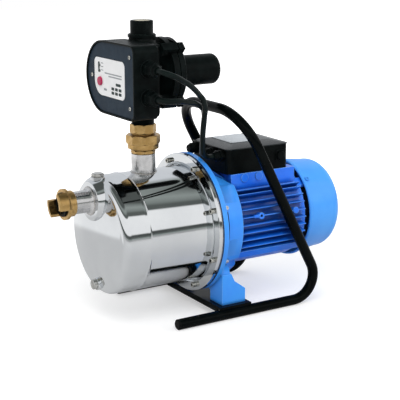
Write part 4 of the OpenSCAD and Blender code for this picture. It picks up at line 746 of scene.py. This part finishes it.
@dataclass
class Studio:
    """Camera, soft light, white world and pale floor, in metres.

    Attributes:
        eye: Place of the camera.
        aim: Point that the camera looks at.
        lens: Focal length in millimetres.
        sensor: Width of the sensor in millimetres.
        lamps: Name, place, side and power in watts of each lamp.
        soft_light: Strength of the world on matte surfaces.
        room: Brightness of the mirrored room by height, from level to straight up.
        tinge: How much red and blue the dark parts of the room lack.
        room_side: Direction across where the front of the room gives way to its back.
        room_back: Colour of the back of the room.
        floor_half: Half side of the floor.
        floor_color: Colour of the floor.
        floor_glow: Light that the floor adds to the eye near the pump.
        white_from: Distances from the origin between which the floor turns all white.
        table_middle: Middle of the round table that mirrors show under the pump.
        table_edge: Distances from there between which its edge lies.
        table_back: Place across where the table's edge comes into view.
        wall_glow: Light that mirrors show past that edge.
    """

    eye: Vector = field(default_factory=lambda: Vector((-0.8396, -1.3738, 0.5695)))
    aim: Vector = field(default_factory=lambda: Vector((0.0102, 0.0, 0.1623)))
    lens: float = 97.52
    sensor: float = 36.0
    lamps: tuple[tuple[str, Point, float, float], ...] = (
        ("key_light", (-0.9, -1.3, 1.9), 1.3, 26.0), ("fill_light", (1.6, -1.4, 1.2), 1.6, 12.0),
        ("back_light", (0.5, 1.8, 1.6), 1.8, 12.0))
    soft_light: float = 0.62
    room: tuple[Span, ...] = (
        (0.00, 0.40), (0.02, 0.16), (0.07, 0.08), (0.11, 0.10), (0.14, 1.0), (0.61, 1.0),
        (0.64, 0.12), (0.70, 0.13), (0.74, 0.26), (0.80, 0.36), (0.84, 0.24), (0.87, 0.10),
        (1.00, 0.10))
    tinge: float = 0.10
    room_side: Span = (0.28, 0.48)
    room_back: Color = (0.72, 0.74, 0.77)
    floor_half: float = 6.0
    floor_color: Color = (0.66, 0.66, 0.66)
    floor_glow: float = 0.45
    white_from: Span = (0.35, 0.95)
    table_middle: Point = (-0.17, 0.0, 0.0)
    table_edge: Span = (0.50, 0.60)
    table_back: Span = (0.0, 0.15)
    wall_glow: float = 0.34

    def build(self) -> None:
        """Build the whole studio."""
        scene = bpy.context.scene
        scene.view_settings.view_transform = "Standard"
        self._camera(scene)
        self._world(scene)
        self._floor()
        for name, place, size, power in self.lamps:
            self._lamp(name, Vector(place), size, power)

    def _aimed(self, thing: bpy.types.Object, place: Vector) -> None:
        """Put a camera or a lamp at its place and turn it to the pump."""
        thing.location = place
        thing.rotation_euler = (self.aim - place).to_track_quat("-Z", "Y").to_euler()

    def _camera(self, scene: bpy.types.Scene) -> None:
        """Place the camera at the photograph's angle.

        Args:
            scene: Scene that it takes the picture of.
        """
        data = bpy.data.cameras.new("camera")
        data.lens = self.lens
        data.sensor_width = self.sensor
        scene.camera = add_object("camera", data)
        self._aimed(scene.camera, self.eye)

    def _lamp(self, name: str, place: Vector, size: float, power: float) -> None:
        """Hang one soft square lamp that mirrors don't show.

        Args:
            name: Name of the lamp.
            place: Where it hangs.
            size: Its side in metres.
            power: Its power in watts.
        """
        data = bpy.data.lights.new(name, "AREA")
        data.shape = "SQUARE"
        data.size = size
        data.energy = power
        lamp = add_object(name, data)
        lamp.visible_glossy = False
        self._aimed(lamp, place)

    def _world(self, scene: bpy.types.Scene) -> None:
        """Make a white world to the eye, soft light for matte surfaces and a room for mirrors.

        Args:
            scene: Scene that it surrounds.
        """
        scene.world = bpy.data.worlds.new("studio_world")
        graph = NodeGraph(scene.world, "Generated")
        rays = graph.node("LightPath").outputs
        soft = graph.node("Background", {"Color": WHITE, "Strength": self.soft_light})
        mirror = graph.node("Background", {"Color": self._mirror_room(graph)})
        white = graph.node("Background", {"Color": WHITE, "Strength": 1.0})
        glossy = graph.node("MixShader", {0: rays["Is Glossy Ray"], 1: soft.outputs[0],
                                          2: mirror.outputs[0]})
        seen = graph.node("MixShader", {0: rays["Is Camera Ray"], 1: glossy.outputs[0],
                                        2: white.outputs[0]})
        graph.node("OutputWorld", {"Surface": seen.outputs[0]})

    def _mirror_room(self, graph: NodeGraph) -> Socket:
        """Colour of the room that mirrors show: a window low in front and a dark ceiling.

        Args:
            graph: Node tree of the world.

        Returns:
            The socket of the colour.
        """
        split = graph.node("SeparateXYZ", {0: graph.place})
        front = graph.node("ValToRGB", {0: split.outputs["Z"]})
        elements = front.color_ramp.elements
        for i, (stop, value) in enumerate(self.room):
            element = elements[i] if i < 2 else elements.new(stop)
            element.position = stop
            tinge = self.tinge if value < 0.5 else 0.0
            element.color = (value * (1 - tinge), value, value * (1 - tinge / 2), 1.0)
        side = graph.band(split.outputs["Y"], self.room_side)
        return graph.mix(side, front.outputs["Color"], self.room_back)

    def _far_wall(self, graph: NodeGraph) -> Socket:
        """Light of the floor in mirrors: none on the table, some past its edge at the back.

        Args:
            graph: Node tree of the floor.

        Returns:
            The socket of the light's strength.
        """
        reach = graph.vectors("DISTANCE", graph.place, self.table_middle)
        across = graph.node("SeparateXYZ", {0: graph.place}).outputs["Y"]
        past = graph.calc("MULTIPLY", graph.band(reach, self.table_edge),
                          graph.band(across, self.table_back))
        return graph.calc("MULTIPLY", past, self.wall_glow)

    def _floor(self) -> None:
        """Lay a pale floor that keeps the pump's soft shadow."""
        bm = bmesh.new()
        bmesh.ops.create_grid(bm, x_segments=1, y_segments=1, size=self.floor_half)
        floor = add_object("floor", mesh_of(bm, "floor"))
        material = bpy.data.materials.new("floor_white")
        graph = NodeGraph(material, "Object")
        rays = graph.node("LightPath").outputs
        rise = graph.band(graph.vectors("LENGTH", graph.place), self.white_from,
                          (self.floor_glow, 1.0))
        seen = graph.calc("MULTIPLY", rays["Is Camera Ray"], rise)
        light = graph.calc("MULTIPLY_ADD", rays["Is Glossy Ray"], self._far_wall(graph), seen)
        matte = graph.node("BsdfDiffuse", {"Color": self.floor_color})
        glow = graph.node("Emission", {"Color": WHITE, "Strength": light})
        both = graph.node("AddShader", {0: matte.outputs[0], 1: glow.outputs[0]})
        graph.node("OutputMaterial", {"Surface": both.outputs[0]})
        floor.data.materials.append(material)


@dataclass
class Leads:
    """The two leads from the controller to the terminal box, each whole between its glands.

    Attributes:
        diameter: Outer diameter of a lead in metres.
        upper: Route of the upper lead.
        lower: Route of the lower lead.
    """

    diameter: float = 8.0 * MM
    upper: Sequence[Point] = (
        (-119, -95, 380.5), (-119, -103, 380.5), (-118, -110, 380), (-115, -116, 378.5),
        (-109, -121, 376), (-100, -122, 372), (-90.5, -120, 367), (-80, -117, 361.5),
        (-70, -112, 355), (-61, -107, 348.5), (-53, -102, 342), (-47.5, -101, 336.5),
        (-43.5, -98, 330.5), (-37.5, -91, 319.5), (-33.5, -82, 306), (-27.5, -69, 285),
        (-20.5, -57, 264), (-15.5, -50, 251.5), (-9, -43.5, 243), (-1, -38.5, 238.5),
        (8, -36, 237), (16, -36, 237))
    lower: Sequence[Point] = (
        (-119, -95, 340.5), (-119, -102, 340.5), (-118, -108, 340.5), (-114.5, -113, 340.5),
        (-106.5, -116, 340), (-96, -116, 339.5), (-86.5, -113, 338), (-75, -108, 335.5),
        (-64, -102, 333), (-52.5, -93.5, 329), (-42.5, -85, 324.5), (-34.5, -78, 320),
        (-26.5, -69, 314.5), (-21, -62, 307.5), (-17.5, -57, 301), (-14, -50, 290.5),
        (-11.5, -44, 279), (-8.5, -38, 268), (-6, -33, 258.5), (-3, -27, 249.5),
        (1.5, -20, 242), (6, -14.5, 238), (11, -12, 237), (16, -12, 237))

    def build(self) -> None:
        self._lead("upper_lead_sheath", "upper_lead", self.upper)
        self._lead("lower_lead_sheath", "lower_lead", self.lower)

    def _lead(self, name: str, node: str, route: Sequence[Point]) -> None:
        """Sweep one lead along its route.

        Args:
            name: Name of the piece.
            node: CAD node that it stands for.
            route: Points of its centre line in millimetres.
        """
        points = [Vector(point) * MM for point in route]
        data = bpy.data.curves.new(name, "CURVE")
        data.dimensions = "3D"
        data.bevel_depth = self.diameter / 2
        data.bevel_resolution = 7
        data.resolution_u = 6
        data.use_fill_caps = True
        spline = data.splines.new("BEZIER")
        spline.bezier_points.add(len(points) - 1)
        for knot, point in zip(spline.bezier_points, points):
            knot.co = point
            knot.handle_left_type = "AUTO"
            knot.handle_right_type = "AUTO"
        slot = SLOT_OF_NODE[node]
        data.materials.append(PALETTE.material(slot))
        piece = add_object(name, data)
        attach(piece, Body.PUMP.value)
        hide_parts(node)


@dataclass
class PumpHead:
    """Pressed steel casing with its pipes, plugs, clamp ring and screws.

    Attributes:
        radius: Outer radius of the casing.
        wall: Thickness of the sheet.
        front: Station of the edge of the front.
        crown: How far the front bulges.
        corner: Radius of the front corner.
        bead: Station of the stiffening bead.
        bead_rise: Height of the bead.
        bead_half: Half width of the bead.
        flare: Length of the flare to the flange.
        flare_rise: How far the flare leaves the casing.
        lip: Radius of the flange lip.
        lip_edge: Size of the flat on its edge.
        suction_rise: Rise of the suction pipe.
        suction_bore: Radius of the suction pipe's bore.
        bore_span: Stations between which the casing is opened for it.
        discharge: Station of the discharge pipe.
        pipe: Outer radius of the discharge pipe.
        foot_from: How far a point lies outside the pipe where it counts as its foot.
        foot_share: Share of the CAD foot's width that the foot keeps.
        filler: Station of the filling plug.
        drain_rise: Rise of the drain plug.
        head_z: Height above the floor of the seat of the filling plug's head.
        head_x: Station of the seat of the drain plug's head.
        head_share: Share of their height that the heads of the plugs keep.
        pad: Outline of the suction pad, as radius and station.
        drain_boss: Outline of the drain plug's boss, as radius and station.
        filler_boss: Outline of the filling plug's boss, as radius and height above the floor.
        suction_weld: Radius, station, half width and seed of the suction pipe's weld.
        discharge_weld: Radius, height, half width and seed of the discharge pipe's weld.
    """

    radius: float = 88.0
    wall: float = 2.0
    front: float = -151.5
    crown: float = 8.0
    corner: float = 12.0
    bead: float = -110.0
    bead_rise: float = 0.9
    bead_half: float = 3.0
    flare: float = 12.0
    flare_rise: float = 4.0
    lip: float = 104.0
    lip_edge: float = 0.5
    suction_rise: float = 54.0
    suction_bore: float = 13.5
    bore_span: Span = (-175.0, -140.0)
    discharge: float = -73.0
    pipe: float = 18.0
    foot_from: float = 0.2
    foot_share: float = 0.2
    filler: float = -148.5
    drain_rise: float = -73.5
    head_z: float = 220.3
    head_x: float = -155.5
    head_share: float = 0.6
    pad: Profile = ((13.5, -163), *arc((27.6, -161.6), 1.4, 270, 350, 5), (32.4, -151.5),
                    (34.0, -149.0), (13.5, -149))
    drain_boss: Profile = ((0, -154), (5.5, -154), (5.5, -155.5),
                           *arc((8.7, -154.7), 0.8, 270, 360, 4), (9.5, -146.5), (0, -146.5))
    filler_boss: Profile = ((0, 196), (10.5, 196), *arc((9.8, 219.6), 0.7, 0, 90, 4), (6, 220.3),
                            (6, 218), (0, 218))
    suction_weld: tuple[float, float, float, int] = (20.2, -163.8, 1.0, 3)
    discharge_weld: tuple[float, float, float, int] = (18.9, 220.2, 0.9, 5)

    def build(self) -> None:
        """Build the casing and dress the pieces on it."""
        self._casing()
        self._bosses()
        self._welds()
        for node in ("suction_stub", "clamp_ring", "flange_screws"):
            refined(node)
        self._plugs()
        self._foot()

    def _front(self, shift: float) -> list[tuple[float, float]]:
        """Points of the bulging front from its middle to the corner.

        Args:
            shift: How far they are moved back.

        Returns:
            The points as radius and station.
        """
        flat = self.radius - self.corner
        count = 24
        return [(flat * i / count, self.front - self.crown * (1 - (i / count) ** 2) + shift)
                for i in range(count)]

    def _flare(self, shift: float) -> list[tuple[float, float]]:
        """Points of the flare from the casing to the flange.

        Args:
            shift: How far they are moved in and back.

        Returns:
            The points as radius and station.
        """
        points = []
        count = 16
        for i in range(count + 1):
            angle = math.radians(90 * i / count)
            points.append((self.radius - shift + self.flare_rise * (1 - math.cos(angle)),
                           -self.wall - self.flare + shift + self.flare * math.sin(angle)))
        return points

    def _bead(self) -> list[tuple[float, float]]:
        """Points over the stiffening bead.

        Returns:
            The points as radius and station.
        """
        points = []
        for i in range(-4, 5):
            share = i / 4
            rise = self.bead_rise * 0.5 * (1 + math.cos(math.pi * share))
            points.append((self.radius + rise, self.bead + self.bead_half * share))
        return points

    def _casing(self) -> None:
        """Turn the casing and open its suction hole."""
        middle = (self.radius - self.corner, self.front + self.corner)
        outside = (self._front(0) + arc(middle, self.corner, 270, 360, 16) + self._bead()
                   + self._flare(0) + [(self.lip - self.lip_edge, -self.wall),
                                       (self.lip, -self.wall + self.lip_edge), (self.lip, 0)])
        inside = (self._front(self.wall) + arc(middle, self.corner - self.wall, 270, 360, 8)
                  + self._flare(self.wall))
        casing = turned("casing_skin", "polished_steel", outside + inside[::-1], steps=256,
                        place=along_axis(), replaces=["pump_casing"], sharp=50)
        bore = bmesh.new()
        start, end = self.bore_span
        lathe(bore, [(0, start), (self.suction_bore, start), (self.suction_bore, end), (0, end)],
              steps=64)
        bmesh.ops.transform(bore, matrix=along_axis(self.suction_rise), verts=bore.verts)
        cut(casing, bore)

    def _plugs(self) -> None:
        """Dress the two plugs, whose heads are flat."""
        seat = self.head_z * MM
        for vert in refined("filler_plug").data.vertices:
            vert.co.z = min(vert.co.z, seat) + max(vert.co.z - seat, 0) * self.head_share
        seat = station(self.head_x).x
        for vert in refined("drain_plug").data.vertices:
            vert.co.x = max(vert.co.x, seat) + min(vert.co.x - seat, 0) * self.head_share

    def _foot(self) -> None:
        """Dress the discharge pipe, with a slim foot on the casing."""
        middle = station(self.discharge).x
        pipe = self.pipe * MM
        for vert in refined("discharge_stub").data.vertices:
            reach = math.hypot(vert.co.x - middle, vert.co.y)
            if reach > pipe + self.foot_from * MM:
                slim = (pipe + (reach - pipe) * self.foot_share) / reach
                vert.co.x = middle + (vert.co.x - middle) * slim
                vert.co.y *= slim

    def _bosses(self) -> None:
        """Turn the suction pad and the bosses of the two plugs."""
        for name, outline, steps, place in (
                ("suction_pad", self.pad, 128, along_axis(self.suction_rise)),
                ("drain_boss", self.drain_boss, 72, along_axis(self.drain_rise)),
                ("filler_boss", self.filler_boss, 72, at(self.filler))):
            turned(name, "polished_steel", outline, steps, place)

    def _welds(self) -> None:
        """Lay the weld beads of the two pipes."""
        bm = bmesh.new()
        weld_bead(bm, *self.suction_weld)
        finish_piece(bm, "suction_weld", "weld_steel", place=along_axis(self.suction_rise))
        bm = bmesh.new()
        weld_bead(bm, *self.discharge_weld)
        for vert in bm.verts:
            across = vert.co.y / MM
            vert.co.z += (math.sqrt(self.radius**2 - across**2) - self.radius) * MM
        finish_piece(bm, "discharge_weld", "weld_steel", place=at(self.discharge))


@dataclass
class SuctionCoupling:
    """Brass claw coupling on the suction pipe with its rubber ring."""

    def build(self) -> None:
        """Dress the coupling and its ring."""
        refined("suction_coupling")
        refined("coupling_seal")


@dataclass
class DischargeUnion:
    """Brass union between the discharge pipe and the controller."""

    def build(self) -> None:
        """Dress the three brass pieces."""
        for node in ("union_nipple", "union_nut", "union_tail"):
            refined(node, sharp=20)


@dataclass
class MotorUnit:
    """Pump bracket, finned housing, end shield, fan cover and fan.

    Attributes:
        shield_r: Radius that the end shield's rim and lugs hardly pass.
        shield_share: Share of what lies outside it that stays.
        cover_x: Station of the front rim of the fan cover.
        cover_len: Length of the cover.
        cover_r: Front radius of the CAD cover.
        cover_taper: How far the CAD cover narrows over its length.
        slim_r: Front radius of the cover in the photograph.
        slim_taper: How far that cover narrows.
        rim_shift: How much further back its front rim lies.
        screw_x: Station of the cover screws.
    """

    shield_r: float = 72.0
    shield_share: float = 0.1
    cover_x: float = 175.0
    cover_len: float = 74.0
    cover_r: float = 82.4
    cover_taper: float = 12.0
    slim_r: float = 77.0
    slim_taper: float = 2.5
    rim_shift: float = 4.0
    screw_x: float = 185.0

    def build(self) -> None:
        """Dress the motor's outer pieces."""
        for node in ("bracket", "tie_rods", "cooling_fan"):
            refined(node)
        refined("bracket_screws", slot="bright_zinc")
        refined("motor_housing", slot="housing_enamel")
        reshape(refined("end_shield", slot="housing_enamel"), self._shield_rule)
        self._cover()

    def _shield_rule(self, _x: float, reach: float) -> float:
        """New radius of a point of the end shield, which stays inside the fan cover."""
        past = max(reach - self.shield_r, 0.0)
        return reach - past * (1 - self.shield_share)

    def _cover(self) -> None:
        """Dress the fan cover and its screws, drawn in to the photograph's slimmer outline."""
        cover = refined("fan_cover", sharp=24)
        screws = refined("fan_cover_screws", slot="cover_paint")
        shift = self._cad_reach(self.screw_x) * (1 - self._slim(self.screw_x))
        reshape(cover, lambda x, reach: reach * self._slim(x))
        reshape(screws, lambda x, reach: reach - shift)
        end = station(self.cover_x + self.cover_len).x
        share = 1 - self.rim_shift / self.cover_len
        for vert in cover.data.vertices:
            vert.co.x = end - (end - vert.co.x) * share
        for vert in screws.data.vertices:
            vert.co.x += (end - station(self.screw_x).x) * (1 - share)

    def _cad_reach(self, x: float) -> float:
        """Radius of the CAD cover at station x, before its round edge."""
        return self.cover_r - self.cover_taper * (x - self.cover_x) / self.cover_len

    def _slim(self, x: float) -> float:
        """Share of the CAD cover's radius that the real cover has at station x."""
        along = (x - self.cover_x) / self.cover_len
        return (self.slim_r - self.slim_taper * along) / self._cad_reach(x)


@dataclass
class TerminalBox:
    """Terminal box with its lid, glands and blank plug.

    Attributes:
        mouth: Station, place across and height of the mouth of the gland for the mains cord.
        seal: Outline of the seal in it, as radius and depth.
        plate: Length, width and thickness of the plate on the lid.
        plate_place: Station, place across and height of the middle of the plate.
        plate_corner: Radius of its corners.
    """

    mouth: Point = (26.0, 36.0, 237.0)
    seal: Profile = ((0, -0.2), (2.4, 0.1), (3.6, 0.7), (3.97, 1.4), (3.97, 6), (0, 6))
    plate: Point = (54.0, 58.0, 0.5)
    plate_place: Point = (90.0, 0.0, 252.5)
    plate_corner: float = 3.0

    def build(self) -> None:
        """Dress the box and close the free gland."""
        for node in ("terminal_box", "terminal_lid", "blank_plug"):
            refined(node)
        refined("terminal_glands", sharp=20)
        turned("mains_gland_seal", "box_black", self.seal, steps=40,
               place=at(*self.mouth) @ ALONG_X)
        self._plate()

    def _plate(self) -> None:
        """Lay the pale plate on the flat top of the lid."""
        bm = bmesh.new()
        bmesh.ops.create_cube(bm, size=MM)
        bmesh.ops.scale(bm, vec=self.plate, verts=bm.verts)
        upright = [e for e in bm.edges if abs(e.verts[0].co.z - e.verts[1].co.z) > SAME_POINT]
        bmesh.ops.bevel(bm, geom=upright, offset=self.plate_corner * MM, offset_type="OFFSET",
                        segments=6, profile=0.5, affect="EDGES", material=-1)
        finish_piece(bm, "lid_plate", "lid_plate", place=at(*self.plate_place))


@dataclass
class Controller:
    """Pressure controller with its cover, label, button, lamps, glands and spring housing.

    Attributes:
        pipe: Station of the outlet.
        thread_z: Height above the floor of the foot of the outlet thread.
        thread_r: Outer radius of the thread.
        pitch: Pitch of the thread.
        turns: Number of its turns.
        thread_depth: Its depth.
        sleeve: Outline of the pale sleeve in the outlet, as radius and height above the floor.
        label: Station, place across and height of the middle of the label's face.
        dark_bars: Left edge, low edge, width and height of each dark bar on the label.
        grey_bars: The same of each grey bar.
        bar_rise: How far the bars stand off the label.
        bar_corner: Radius of a bar's corners as a share of its shorter side.
    """

    pipe: float = -73.0
    thread_z: float = 422.4
    thread_r: float = 16.62
    pitch: float = 2.31
    turns: float = 6.6
    thread_depth: float = 1.1
    sleeve: Profile = ((12.4, 424), (12.4, 439.9), (11.9, 440.2), (11.3, 440.2), (11.3, 424))
    label: Point = (-125.5, 0.0, 360.5)
    dark_bars: tuple[tuple[float, ...], ...] = (
        (31.2, 5.8, 5.2, 15.0), (-33, -9, 15, 4),
        *((x, y, 8.5, 4.2) for x in (-35, -24, -13) for y in (-16, -22)))
    grey_bars: tuple[tuple[float, ...], ...] = (
        (-36, 5.4, 52, 1.8), (-36, 1.6, 40, 1.8), (10, -19, 9, 3), (20, 19, 8, 1.2),
        (20, 14, 8, 1.2), (20, 9, 8, 1.2), (24, -4, 15, 1.0))
    bar_rise: float = 0.12
    bar_corner: float = 0.28

    def build(self) -> None:
        """Dress the controller and add what is too fine for its nodes."""
        for node in ("controller_body", "controller_cover", "controller_label", "reset_button",
                     "status_lenses", "cover_screws", "spring_housing", "spring_housing_screws"):
            refined(node)
        refined("controller_glands", sharp=20)
        bm = bmesh.new()
        helix_ridge(bm, self.thread_r, self.thread_z, self.pitch, self.turns, self.thread_depth)
        finish_piece(bm, "outlet_thread", "controller_black", place=at(self.pipe), sharp=25)
        turned("outlet_sleeve", "strip_cream", self.sleeve, steps=72, place=at(self.pipe))
        self._print("label_marks", "print_slate", self.dark_bars)
        self._print("label_rules", "print_grey", self.grey_bars)

    def _print(self, name: str, slot: str, bars: Sequence[Sequence[float]]) -> None:
        """Print plain bars on the label.

        Args:
            name: Name of the piece.
            slot: Name of its finish.
            bars: Left edge, low edge, width and height of each bar.
        """
        bm = bmesh.new()
        for bar in bars:
            self._bar(bm, *bar)
        upright = Matrix(((0, 0, -1, 0), (1, 0, 0, 0), (0, 1, 0, 0), (0, 0, 0, 1)))
        finish_piece(bm, name, slot, place=at(*self.label) @ upright, outward=False)

    def _bar(self, bm: bmesh.types.BMesh, left: float, low: float, width: float, height: float
             ) -> None:
        """Draw one filled bar with round corners.

        Args:
            bm: Mesh that the bar goes into.
            left: Left edge in millimetres from the middle of the label.
            low: Lower edge.
            width: Width of the bar.
            height: Height of the bar.
        """
        verts = bmesh.ops.create_grid(bm, x_segments=1, y_segments=1, size=0.5)["verts"]
        scale = Matrix.Diagonal((width * MM, height * MM, 1.0, 1.0))
        middle = ((left + width / 2) * MM, (low + height / 2) * MM, self.bar_rise * MM)
        bmesh.ops.transform(bm, matrix=Matrix.Translation(middle) @ scale, verts=verts)
        bmesh.ops.bevel(bm, geom=list(verts[0].link_faces[0].verts),
                        offset=min(width, height) * self.bar_corner * MM, offset_type="OFFSET",
                        segments=4, profile=0.5, affect="VERTICES", material=-1)


@dataclass
class CarryFrame:
    """Bent tube frame with its cross bar, bolts and end caps."""

    def build(self) -> None:
        """Dress the frame's pieces."""
        for node in ("carry_frame", "frame_bar", "foot_screws", "tube_caps"):
            refined(node)


@dataclass
class CadNodes:
    """The CAD's own nodes: those that no piece stands for are seen as they are."""

    def build(self) -> None:
        """Give every node its slot's finish."""
        for node, piece in frame["nodes"].items():
            piece.data.materials.clear()
            piece.data.materials.append(PALETTE.material(SLOT_OF_NODE[node]))
            piece.data.shade_smooth()


def main() -> None:
    """Build the studio and every sub-assembly in order."""
    logging.basicConfig(level=logging.INFO, format="%(message)s")
    for part in (Studio(), Leads(), PumpHead(), SuctionCoupling(), DischargeUnion(), MotorUnit(),
                 TerminalBox(), Controller(), CarryFrame(), CadNodes()):
        part.build()


if __name__ == "__main__":
    main()
